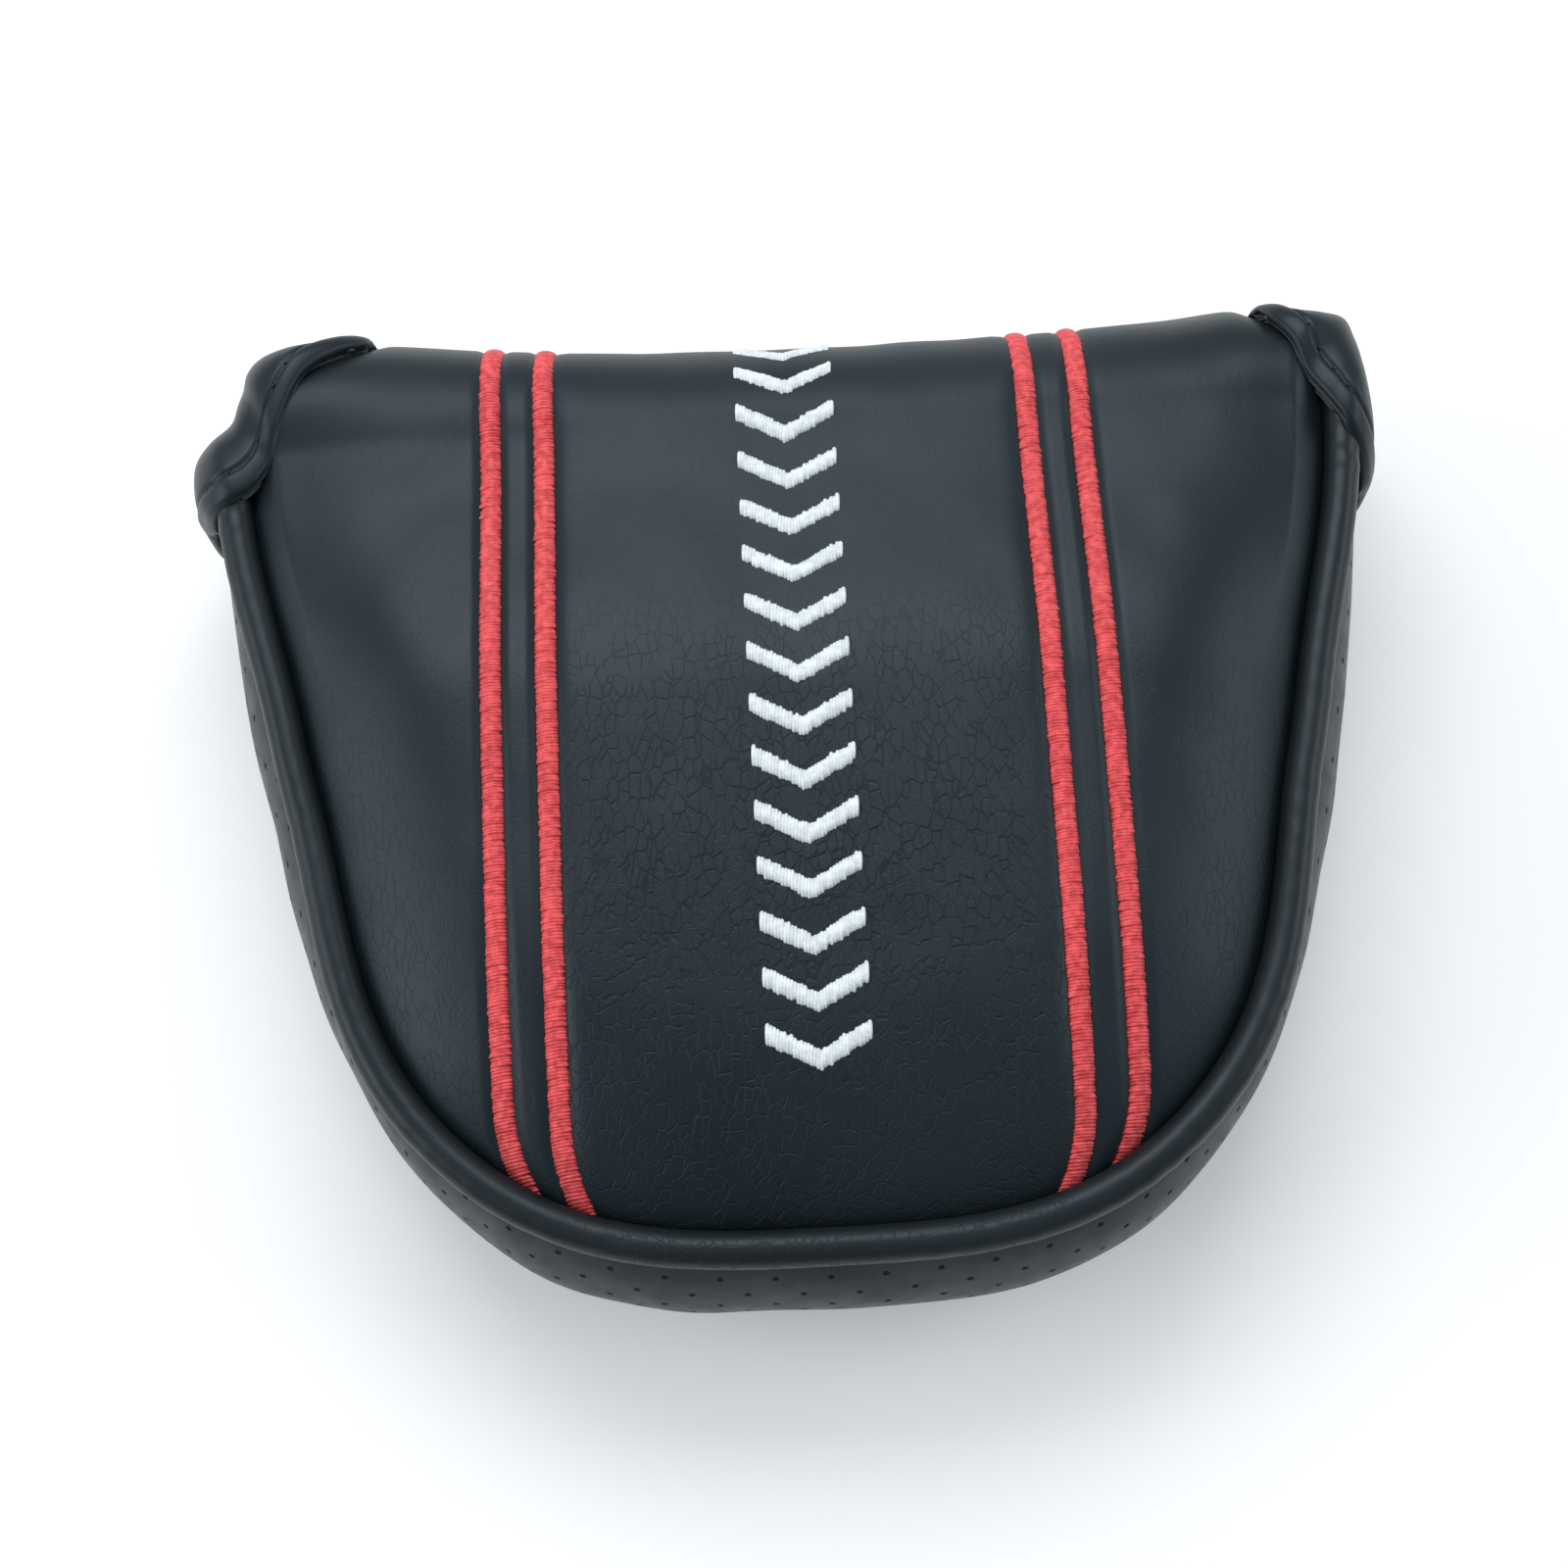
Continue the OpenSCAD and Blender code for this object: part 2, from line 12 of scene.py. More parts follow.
import bpy
import numpy as np
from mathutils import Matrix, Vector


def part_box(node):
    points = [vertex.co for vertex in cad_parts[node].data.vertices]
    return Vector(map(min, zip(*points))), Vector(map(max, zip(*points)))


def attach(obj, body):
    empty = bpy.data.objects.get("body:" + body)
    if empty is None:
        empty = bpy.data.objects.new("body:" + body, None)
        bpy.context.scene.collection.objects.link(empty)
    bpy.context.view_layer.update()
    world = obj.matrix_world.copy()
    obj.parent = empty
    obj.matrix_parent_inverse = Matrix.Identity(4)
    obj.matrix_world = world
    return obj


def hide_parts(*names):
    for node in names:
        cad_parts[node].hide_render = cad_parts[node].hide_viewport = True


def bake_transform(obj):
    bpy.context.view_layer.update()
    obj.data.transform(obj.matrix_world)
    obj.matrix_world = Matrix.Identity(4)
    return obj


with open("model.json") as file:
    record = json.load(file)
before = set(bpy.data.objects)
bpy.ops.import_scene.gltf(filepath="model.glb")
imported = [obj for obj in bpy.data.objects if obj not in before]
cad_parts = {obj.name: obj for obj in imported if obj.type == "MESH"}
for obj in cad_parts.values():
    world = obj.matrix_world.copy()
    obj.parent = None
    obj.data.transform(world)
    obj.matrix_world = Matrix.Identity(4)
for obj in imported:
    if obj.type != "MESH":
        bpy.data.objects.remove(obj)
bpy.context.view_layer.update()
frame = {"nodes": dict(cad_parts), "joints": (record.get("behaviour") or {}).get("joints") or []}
MM = 0.001

# %% [markdown]
# ## Camera
# The cover is seen from almost straight above, from the tip's side, a little less than 30 cm away,
# and turned by 3 degrees. A camera could be aimed with a constraint, but three plain axes
# written as the columns of a matrix say exactly how it looks and how far it is rolled.

# %% Camera
AIM = np.array([-2.1, 3.4, 16.0])
DISTANCE = 273.0
TILT = math.radians(15.9)
ROLL = math.radians(3.0)

back = np.array([0, -math.sin(TILT), math.cos(TILT)])
across = np.array([1.0, 0, 0])
upwards = np.cross(back, across)
right = across * math.cos(ROLL) - upwards * math.sin(ROLL)
up = across * math.sin(ROLL) + upwards * math.cos(ROLL)

camera = bpy.data.objects.new("camera", bpy.data.cameras.new("camera"))
bpy.context.scene.collection.objects.link(camera)
camera.data.lens = 58.5
camera.data.sensor_width = 36
camera.data.clip_start = 0.01
pose = np.eye(4)
pose[:3, 0] = right
pose[:3, 1] = up
pose[:3, 2] = back
pose[:3, 3] = (AIM + back * DISTANCE) * MM
camera.matrix_world = pose.T.tolist()
bpy.context.scene.camera = camera
bpy.context.scene.view_settings.view_transform = "Standard"
print("camera at", np.round(pose[:3, 3], 3))

# %% [markdown]
# ## Studio
# Black leather shows only what it mirrors, so the light is a few large soft panels. One hangs
# overhead beyond the mouth, where a flat panel mirrors it into the camera as a broad sheen. Two
# side panels draw the highlights along the piping. The sky is pale too, and darker on the tip's
# side, so the steep edge of the padding there falls off into shadow.


# %% Lights and floor
def soft_light(name, place, aim, size, watts):
    """A square area light at place, turned to shine on aim."""
    lamp = bpy.data.lights.new(name, "AREA")
    lamp.shape = "RECTANGLE"
    lamp.size = size[0] * MM
    lamp.size_y = size[1] * MM
    lamp.energy = watts
    holder = bpy.data.objects.new(name, lamp)
    bpy.context.scene.collection.objects.link(holder)
    away = np.array(place, float) - np.array(aim, float)
    away /= np.linalg.norm(away)
    side = np.cross([0, 1, 0.01], away)
    side /= np.linalg.norm(side)
    axes = np.eye(4)
    axes[:3, 0] = side
    axes[:3, 1] = np.cross(away, side)
    axes[:3, 2] = away
    axes[:3, 3] = np.array(place) * MM
    holder.matrix_world = axes.T.tolist()


soft_light("overhead", (-60, 400, 600), (0, 0, 20), (520, 300), 2.4)
soft_light("left_panel", (-520, -60, 300), (0, 0, 20), (300, 420), 1.3)
soft_light("right_panel", (560, 60, 320), (0, 0, 20), (260, 420), 0.9)

world = bpy.data.worlds.new("studio")
bpy.context.scene.world = world
world.use_nodes = True
sky = world.node_tree
way = sky.nodes.new("ShaderNodeTexCoord")
part_of_way = sky.nodes.new("ShaderNodeSeparateXYZ")
strength = sky.nodes.new("ShaderNodeMapRange")
strength.inputs["From Min"].default_value = -0.8
strength.inputs["From Max"].default_value = 0.1
strength.inputs["To Min"].default_value = 0.26
strength.inputs["To Max"].default_value = 0.62
sky.links.new(way.outputs["Generated"], part_of_way.inputs[0])
sky.links.new(part_of_way.outputs["Y"], strength.inputs["Value"])
sky.links.new(strength.outputs[0], sky.nodes["Background"].inputs["Strength"])
sky.nodes["Background"].inputs["Color"].default_value = (0.88, 0.95, 1.0, 1)

# %% [markdown]
# ## Shader maths in Python
# A material is a graph of nodes, which is hard to read as code. The class below wraps one output
# socket, and Python's own operators on it add the Math nodes, so a pattern reads as a formula.
# Every other node comes from one method, which takes its type, its settings and its sockets.


# %% A wire that knows arithmetic
class Wire:
    """A number, colour or vector carried by an output socket."""

    def __init__(self, finish, socket):
        self.finish = finish
        self.socket = socket

    def math(self, operation, *values):
        return self.finish.node("ShaderNodeMath", {"operation": operation}, dict(enumerate(values)))

    def __add__(self, other):
        return self.math("ADD", self, other)

    __radd__ = __add__

    def __sub__(self, other):
        return self.math("SUBTRACT", self, other)

    def __rsub__(self, other):
        return self.math("SUBTRACT", other, self)

    def __mul__(self, other):
        return self.math("MULTIPLY", self, other)

    __rmul__ = __mul__

    def __truediv__(self, other):
        return self.math("DIVIDE", self, other)

    def step(self, low, high, start=0.0, end=1.0):
        """Goes smoothly from start to end as the number goes from low to high."""
        names = ("Value", "From Min", "From Max", "To Min", "To Max")
        sockets = dict(zip(names, (self, low, high, start, end)))
        return self.finish.node("ShaderNodeMapRange", {"interpolation_type": "SMOOTHSTEP"}, sockets)


class Finish:
    """A material while its nodes are being wired."""

    def __init__(self, name):
        self.material = bpy.data.materials.new(name)
        self.material.use_nodes = True
        self.tree = self.material.node_tree
        self.tree.nodes.clear()

    def node(self, kind, settings=None, sockets=None, output=0):
        """Adds a node and returns one of its outputs. Settings come first, then sockets."""
        made = self.tree.nodes.new(kind)
        for key, value in (settings or {}).items():
            setattr(made, key, value)
        for key, value in (sockets or {}).items():
            if isinstance(value, Wire):
                self.tree.links.new(value.socket, made.inputs[key])
            else:
                made.inputs[key].default_value = value
        return Wire(self, made.outputs[output]) if made.outputs else None

    def place(self, stretch=(1, 1, 1)):
        """Object coordinates in millimetres, stretched along each axis."""
        here = self.node("ShaderNodeTexCoord", output="Object")
        scale = [1 / MM / s for s in stretch]
        return self.node("ShaderNodeMapping", None, {"Vector": here, "Scale": scale})

    def noise(self, vector, size, detail=2.0, rough=0.5):
        """Soft noise around 0.5, with blots of about the given size in millimetres."""
        sockets = {"Vector": vector, "Scale": 1 / size, "Detail": detail, "Roughness": rough}
        return self.node("ShaderNodeTexNoise", None, sockets)

    def blend(self, share, first, second):
        """Mixes two colours by a share from 0 to 1."""
        sockets = {"Factor": share, 6: first, 7: second}
        return self.node("ShaderNodeMix", {"data_type": "RGBA"}, sockets, output=2)

    def surface(self, color, roughness, height, **constants):
        """Closes the material: a Principled shader with the height, in millimetres, as a bump."""
        bump = self.node("ShaderNodeBump", None, {"Height": height, "Distance": MM})
        sockets = {"Base Color": color, "Roughness": roughness, "Normal": bump}
        sockets.update({key.replace("_", " "): value for key, value in constants.items()})
        shader = self.node("ShaderNodeBsdfPrincipled", None, sockets)
        self.node("ShaderNodeOutputMaterial", None, {"Surface": shader})
        return self.material


# %% [markdown]
# ## Leather
# Polyurethane leather is a printed film: a net of fine creases round flat pads about 1 mm wide and
# 2 mm tall, with a much finer tooth on the pads. The creases open where the middle of the panel
# bends over the foam near the tip, and the sides stay smooth. Voronoi cells measured by the
# distance to their edges give such a net, and warping the coordinates with noise keeps it from
# looking like tiles. The same net drives height, colour and roughness: the creases are darkened
# with painted shade. A tint on the shader's mirror colour gives the film its cool sheen.


# %% Leather finishes
COOL = (0.80, 0.92, 1.0, 1)
# Near black that the crease lines are darkened towards: painted shade in the creases.
CREASE_SHADE = (0.001, 0.0015, 0.002, 1)
PAD_STRETCH = (1, 1.9, 1)
PADS_PER_MM = 0.95
FINE_PADS_PER_MM = 1.7


def leather(name, deep, light, crease=1.0, gloss=0.42):
    """Black leather: a warped net of creases, a fine tooth and a slow drift of colour.

    A crease is where the distance to a cell's edge is near 0. Its depth fades out from the tip to
    the mouth and outside the inner stripes.
    """
    f = Finish(name)
    plain = f.place()
    warp = f.node("ShaderNodeTexNoise", None, {"Vector": plain, "Scale": 0.5, "Detail": 2.0}, output=1)
    pulled = f.node("ShaderNodeVectorMath", {"operation": "SCALE"}, {0: warp, "Scale": 0.6})
    net_place = f.node("ShaderNodeVectorMath", {"operation": "ADD"}, {0: f.place(PAD_STRETCH), 1: pulled})
    net = {"Vector": net_place, "Scale": PADS_PER_MM, "Randomness": 1.0}
    to_edge = f.node("ShaderNodeTexVoronoi", {"feature": "DISTANCE_TO_EDGE"}, net)
    fine = {"Vector": net_place, "Scale": FINE_PADS_PER_MM, "Randomness": 1.0}
    to_fine_edge = f.node("ShaderNodeTexVoronoi", {"feature": "DISTANCE_TO_EDGE"}, fine)
    lengthways = f.node("ShaderNodeSeparateXYZ", None, {0: plain}, output=1)
    sideways = f.node("ShaderNodeSeparateXYZ", None, {0: plain})
    low_end = lengthways.step(22, -12) * (1 - sideways.math("ABSOLUTE", sideways).step(19, 28) * 0.85)
    broken = f.noise(plain, 3.0, 1.0).step(0.30, 0.52)
    line = (1 - to_edge.step(0.0, 0.075)) * broken * (low_end * 0.9 + 0.1)
    fine_line = (1 - to_fine_edge.step(0.0, 0.08)) * (low_end * 0.85 + 0.15)
    tooth = f.noise(plain, 0.18, 2.0)
    swell = f.noise(plain, 9.0, 1.0)
    height = tooth * 0.008 - line * (0.055 * crease) - fine_line * (0.012 * crease) + swell * 0.05
    drift = f.noise(plain, 34, 2.0).step(0.3, 0.7)
    film = f.blend(drift, deep, light)
    # Painted shade: the crease lines are darkened towards a near black.
    color = f.blend(line * (0.4 * crease), film, CREASE_SHADE)
    roughness = drift.step(0, 1, gloss - 0.02, gloss + 0.03) + line * 0.2
    return f.surface(color, roughness, height, Specular_IOR_Level=0.32, Specular_Tint=COOL)


panel_leather = leather("panel_leather", (0.0065, 0.0115, 0.0150, 1), (0.0100, 0.0165, 0.0210, 1))
piping_leather = leather("piping_leather", (0.007, 0.010, 0.012, 1), (0.011, 0.015, 0.018, 1), 0.3, 0.38)
hood_leather = leather("hood_leather", (0.0075, 0.0120, 0.0155, 1), (0.0110, 0.0170, 0.0215, 1), 0.3, 0.40)

# %% [markdown]
# ## Perforated leather
# The gusset is the same film punched with rows of needle-fine holes, each row shifted by half a
# pitch. Real holes would need millions of faces, so they are drawn in the material: the piece
# carries a map measured in millimetres along and across the band, the map is folded into one cell,
# and the distance to the cell's middle says where the film drops away into a hole. The holes are
# real; their near-black colour is painted shade, the shade inside them.

# %% Perforated leather finish
HOLE_PITCH = 5.5
HOLE_ROW = 2.7
HOLE_R = 0.34


def perforated_leather():
    """Leather with a staggered grid of holes laid out on the band's own map."""
    f = Finish("perforated_leather")
    band = f.node("ShaderNodeUVMap", {"uv_map": "UVMap"})
    along = f.node("ShaderNodeSeparateXYZ", None, {0: band})
    height_up = Wire(f, along.socket.node.outputs[1])
    row = height_up / HOLE_ROW
    row_number = row.math("FLOOR", row)
    odd = row_number.math("FLOORED_MODULO", row_number, 2.0)
    column = along / HOLE_PITCH + odd * 0.5
    off_along = (column.math("FRACT", column) - 0.5) * HOLE_PITCH
    off_up = (row.math("FRACT", row) - 0.5) * HOLE_ROW
    off = off_up.math("SQRT", off_along * off_along + off_up * off_up)
    hole = 1 - off.step(HOLE_R - 0.1, HOLE_R + 0.08)
    plain = f.place()
    tooth = f.noise(plain, 0.18, 2.0)
    swell = f.noise(plain, 4.0, 2.0)
    film = f.blend(f.noise(plain, 20, 2.0), (0.0065, 0.0100, 0.0125, 1), (0.0100, 0.0145, 0.0180, 1))
    # Painted shade: the holes are darkened to near black, as the shade inside them.
    color = f.blend(hole, film, (0.0005, 0.0005, 0.0005, 1))
    roughness = f.noise(plain, 2.5, 2.0).step(0.3, 0.7, 0.36, 0.46) + hole * 0.4
    height = tooth * 0.012 + swell * 0.10 - hole * 0.12
    return f.surface(color, roughness, height, Specular_IOR_Level=0.35, Specular_Tint=COOL)


gusset_leather = perforated_leather()

# %% [markdown]
# ## Thread
# Machine embroidery is worked in shiny rayon. Each stitch here is a real little ridge of its own, so
# the material only adds what is finer than a stitch: the twisted fibres, and a slow change of tone
# where some stitches catch the light. Sheen gives the pale edge that fibres have.


# %% Thread finishes
def thread(name, dark, light, gloss=0.42, sheen=0.25):
    """Rayon thread: fine fibre ridges across the stitch and a change of tone from stitch to stitch."""
    f = Finish(name)
    fibres = f.noise(f.place((1.0, 0.12, 0.5)), 0.9, 3.0)
    tone = f.noise(f.place(), 0.8, 2.0).step(0.3, 0.7)
    color = f.blend(tone * 0.65 + fibres * 0.35, dark, light)
    roughness = fibres.step(0.2, 0.8, gloss - 0.08, gloss + 0.12)
    height = fibres * 0.05
    return f.surface(color, roughness, height, Sheen_Weight=sheen, Sheen_Roughness=0.4)


red_thread = thread("red_thread", (0.50, 0.020, 0.026, 1), (0.95, 0.11, 0.12, 1))
white_thread = thread("white_thread", (0.62, 0.68, 0.70, 1), (0.90, 0.95, 0.97, 1), 0.5, 0.1)
black_thread = thread("black_thread", (0.004, 0.005, 0.006, 1), (0.014, 0.016, 0.018, 1))

# %% [markdown]
# ## Inside finishes
# The lining is a short fleece, which hides its weave under a nap, so it is rough with two sizes of
# soft bumps and a strong sheen. The foam has open cells. The cord inside the piping is twisted
# cotton, and the magnets are nickel-plated discs with fine turning marks.


# %% Lining, foam, cord and magnet
def fleece():
    """Short dark fleece: tufts, single fibres and a pale nap."""
    f = Finish("fleece_lining")
    tufts = f.noise(f.place(), 0.9, 3.0, 0.7)
    fibres = f.noise(f.place((1, 0.3, 1)), 0.25, 2.0)
    color = f.blend(tufts, (0.010, 0.011, 0.013, 1), (0.045, 0.047, 0.052, 1))
    height = tufts * 0.5 + fibres * 0.15
    return f.surface(color, tufts.step(0.2, 0.8, 0.85, 0.98), height, Sheen_Weight=0.5, Sheen_Roughness=0.6)


def foam():
    """Pale open-cell foam: round cells with thin walls."""
    f = Finish("foam")
    cells = {"Vector": f.place(), "Scale": 1.6, "Randomness": 1.0}
    wall = f.node("ShaderNodeTexVoronoi", {"feature": "DISTANCE_TO_EDGE"}, cells).step(0.0, 0.25)
    # Painted shade: the sunk hollows of the cells are darker than their pale walls.
    color = f.blend(wall, (0.62, 0.61, 0.55, 1), (0.42, 0.41, 0.37, 1))
    return f.surface(color, f.noise(f.place(), 2.0).step(0.3, 0.7, 0.85, 0.95), wall * -0.3)


def cotton_cord():
    """Undyed cotton: slanting strands."""
    f = Finish("cotton_cord")
    strands = f.noise(f.place((0.5, 0.5, 1.5)), 0.7, 3.0)
    color = f.blend(strands, (0.45, 0.42, 0.34, 1), (0.72, 0.69, 0.6, 1))
    return f.surface(color, strands.step(0.2, 0.8, 0.75, 0.95), strands * 0.2)


def nickel():
    """Bright plating with fine marks from the tumbler."""
    f = Finish("nickel")
    marks = f.noise(f.place((1, 0.1, 1)), 0.5, 3.0)
    color = f.blend(marks, (0.55, 0.54, 0.51, 1), (0.70, 0.69, 0.66, 1))
    return f.surface(color, marks.step(0.2, 0.8, 0.22, 0.38), marks * 0.01, Metallic=1.0)


fleece_lining = fleece()
pad_foam = foam()
piping_cord = cotton_cord()
magnet_steel = nickel()

# %% [markdown]
# ## From numbers to meshes
# Every new piece is a surface worked out with numpy: a grid of points, one array for the whole
# grid. The helpers turn such grids into meshes. A shell closes the space between an outer grid and
# an inner one. The sign of the enclosed volume tells whether the faces look out, so no piece
# depends on the order in which its grid was written.


# %% Mesh helpers
def unit(v):
    """Each vector of an array divided by its length."""
    return v / np.maximum(np.linalg.norm(v, axis=-1, keepdims=True), 1e-9)


def smooth(t):
    """0 below 0, 1 above 1, and 3t2 - 2t3 between."""
    t = np.clip(t, 0, 1)
    return t * t * (3 - 2 * t)


def mix(a, b, t):
    """a where t is 0, b where t is 1."""
    return a + (b - a) * t


def grid_quads(rows, cols, wrap=False):
    """The corner numbers of the cells of a grid. wrap joins the last column to the first."""
    i = np.arange(rows - 1)[:, None]
    j = np.arange(cols if wrap else cols - 1)[None, :]
    k = (j + 1) % cols
    corners = [i * cols + j, i * cols + k, (i + 1) * cols + k, (i + 1) * cols + j]
    return np.stack(corners, -1).reshape(-1, 4)


def make_piece(name, points, quads, material, uv=None, triangles=None, closed=True):
    """A mesh object from points in millimetres. A closed one is turned to face outwards."""
    points = points.reshape(-1, 3)
    triangles = np.zeros((0, 3), int) if triangles is None else triangles
    halves = np.concatenate([quads[:, [0, 1, 2]], quads[:, [0, 2, 3]], triangles])
    a, b, c = points[halves[:, 0]], points[halves[:, 1]], points[halves[:, 2]]
    volume = np.einsum("ij,ij->", a, np.cross(b, c)) / 6
    if closed and volume < 0:
        quads, triangles = quads[:, ::-1], triangles[:, ::-1]
    mesh = bpy.data.meshes.new(name)
    mesh.from_pydata((points * MM).tolist(), [], quads.tolist() + triangles.tolist())
    if uv is not None:
        layer = mesh.uv_layers.new(name="UVMap")
        corner = np.empty(len(mesh.loops), np.int32)
        mesh.loops.foreach_get("vertex_index", corner)
        layer.data.foreach_set("uv", uv.reshape(-1, 2)[corner].ravel())
    mesh.polygons.foreach_set("use_smooth", np.ones(len(mesh.polygons), bool))
    mesh.materials.append(material)
    mesh.update()
    piece = bpy.data.objects.new(name, mesh)
    bpy.context.scene.collection.objects.link(piece)
    print(f"{name}: {len(mesh.polygons)} faces, {abs(volume) / 1000:.2f} cm3")
    return piece


def shell(name, outer, inner, material, uv=None):
    """A closed piece between two grids of one size, with a wall round the rim."""
    rows, cols = outer.shape[:2]
    quads = grid_quads(rows, cols)
    layer = rows * cols
    rim = np.concatenate([
        np.arange(cols - 1),
        np.arange(rows - 1) * cols + cols - 1,
        layer - 1 - np.arange(cols - 1),
        (rows - 1 - np.arange(rows - 1)) * cols,
    ])
    after = np.roll(rim, -1)
    walls = np.stack([after, rim, rim + layer, after + layer], -1)
    faces = np.concatenate([quads, quads[:, ::-1] + layer, walls])
    points = np.concatenate([outer.reshape(-1, 3), inner.reshape(-1, 3)])
    if uv is not None:
        uv = np.concatenate([uv.reshape(-1, 2), uv.reshape(-1, 2)])
    return make_piece(name, points, faces, material, uv)


def tube(name, rings, material):
    """A closed piece from a stack of rings, rings x sides, with a fan over each end."""
    count, sides = rings.shape[:2]
    body = grid_quads(count, sides, wrap=True)
    fan = np.arange(sides)
    after = np.roll(fan, -1)
    last = (count - 1) * sides
    tip = count * sides
    first_cap = np.stack([after, fan, np.full(sides, tip)], -1)
    last_cap = np.stack([fan + last, after + last, np.full(sides, tip + 1)], -1)
    points = np.concatenate([rings.reshape(-1, 3), rings[[0, -1]].mean(axis=1)])
    return make_piece(name, points, body, material, None, np.concatenate([first_cap, last_cap]))


def wave_noise(a, b, size, seed, terms=14):
    """Smooth noise from -1 to 1 over two parameters: a sum of seeded plane waves of about one size."""
    rng = np.random.default_rng(seed)
    total = 0.0
    for _ in range(terms):
        way = rng.uniform(0, 2 * np.pi)
        length = size * rng.uniform(0.7, 1.6)
        phase = rng.uniform(0, 2 * np.pi)
        total = total + np.sin(2 * np.pi * (a * math.cos(way) + b * math.sin(way)) / length + phase)
    return total / math.sqrt(terms)


def finish_piece(piece, body, slot, *nodes):
    """Parents a piece to the empty of its body when body is a name, and otherwise bakes its transform into
    the mesh. Hides the CAD nodes that it stands for.

    slot is not used.
    """
    if isinstance(body, str):
        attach(piece, body)
    else:
        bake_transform(piece)
    if nodes:
        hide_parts(*nodes)


# %% [markdown]
# ## Sizes
# The frame gives the places. The tip of the D is the gusset's lowest Y, and the seams' heights are
# the middles of the two pipings. The folds' circles follow from the two hinges, which lie on the
# outer face of the strap at 45 degrees round each fold.


# %% Sizes from the frame
def box(node):
    """Lowest and highest corner of a CAD node, in millimetres."""
    low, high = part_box(node)
    return np.array(low) / MM, np.array(high) / MM


HALF_W = 63.0
LENGTH = 104.0
SIDE_POWER = 3.2
TIP_POWER = 1.8
SEAM_INSET = 5.5
PANEL_INSET = 6.5
MOUTH_FLARE = 0.034
TIP_FLARE = 0.042
FOLD_R = 12.0
STRIPES = (-31.1, -25.5, 25.5, 31.1)
STRIPE_W = 2.35
LEATHER = 1.0
GAP = 0.05

tip_y = box("gusset")[0][1]
mouth_y = tip_y + LENGTH
front_low, front_high = box("front_piping")
back_low, back_high = box("back_piping")
piping_r = (front_high[2] - front_low[2]) / 2
front_seam_z = (front_high[2] + front_low[2]) / 2
back_seam_z = (back_high[2] + back_low[2]) / 2
hinges = {joint["name"]: np.array(joint["pos_m"]) / MM for joint in frame["joints"]}
slant = FOLD_R * math.sin(math.pi / 4)
fold_y = hinges["bridge_fold"][1] - slant
upper_z = hinges["bridge_fold"][2] - slant
lower_z = hinges["tongue_fold"][2] + slant
fold_top_z = upper_z + FOLD_R
tongue_end_y = box("tongue_panel")[0][1]
print("seams at", front_seam_z, back_seam_z, "folds at", fold_y, upper_z, lower_z)

# %% [markdown]
# ## The D outline
# The outline is half a superellipse: the share of the half width to one power and the share of the
# length to another add up to 1. A slight flare widens the seams where the hoods pull them out, and
# makes the tip squarer. One formula gives the outline at any inset, so the gusset, both pipings and
# both panels nest in each other and can't drift apart.


# %% Outline
def flare(y, inset):
    """How much wider than the superellipse: the seams at the hoods, and everything near the tip."""
    seam = np.minimum(inset / SEAM_INSET, 1)
    return 1 + MOUTH_FLARE * smooth((y - 8) / 26) * seam + TIP_FLARE * smooth(-y / 35) * (0.4 + 1.6 * seam)


def outline_x(y, inset):
    """Half width at y: the width times (1 - (share of length)^tip power)^(1 / side power)."""
    share = np.clip((mouth_y - y) / (LENGTH - inset), 0, 1) ** TIP_POWER
    return (HALF_W - inset) * (1 - share) ** (1 / SIDE_POWER) * flare(y, inset)


def outline_y(x, inset):
    """The y of the outline at x, read from a table of its half widths."""
    y = np.linspace(mouth_y - LENGTH + inset, mouth_y, 3000)
    return np.interp(np.abs(x), outline_x(y, inset), y)


def outline_path(inset, end_y, count):
    """Evenly spaced points along the outline from the right end round to the left, and their runs."""
    t = np.linspace(0, np.pi, 4001)
    x = (HALF_W - inset) * np.sign(np.cos(t)) * np.abs(np.cos(t)) ** (2 / SIDE_POWER)
    y = mouth_y - (LENGTH - inset) * np.sin(t) ** (2 / TIP_POWER)
    x = x * flare(y, inset)
    x, y = x[y <= end_y], y[y <= end_y]
    run = np.concatenate([[0], np.cumsum(np.hypot(np.diff(x), np.diff(y)))])
    at = np.linspace(0, run[-1], count)
    return np.stack([np.interp(at, run, x), np.interp(at, run, y)], -1), at


def edge_distance(x, y, inset):
    """Distance in from the outline, to first order: how far the formula is from 1, over its slope."""
    a, b = HALF_W - inset, LENGTH - inset
    u = np.abs(x) / flare(y, inset) / a
    v = np.maximum(0, mouth_y - y) / b
    slope = np.hypot(SIDE_POWER * u ** (SIDE_POWER - 1) / a, TIP_POWER * v ** (TIP_POWER - 1) / b)
    level = u**SIDE_POWER + v**TIP_POWER
    return np.maximum(0, 1 - level) / np.maximum(slope, 1e-4)


# %% [markdown]
# ## Piping
# Piping is a strip of leather wrapped round a cord and caught in the seam. It is a ring carried
# along the outline. Where it turns the corners of the D its inner side bunches up, so the radius
# carries a faint ripple that grows with the bend, and a soft unevenness from the cord inside. Its
# ends gather and dive under the hoods. The cord is the same ring, made smaller, in the piping's
# middle.


# %% Piping
CORD_SHARE = 0.55


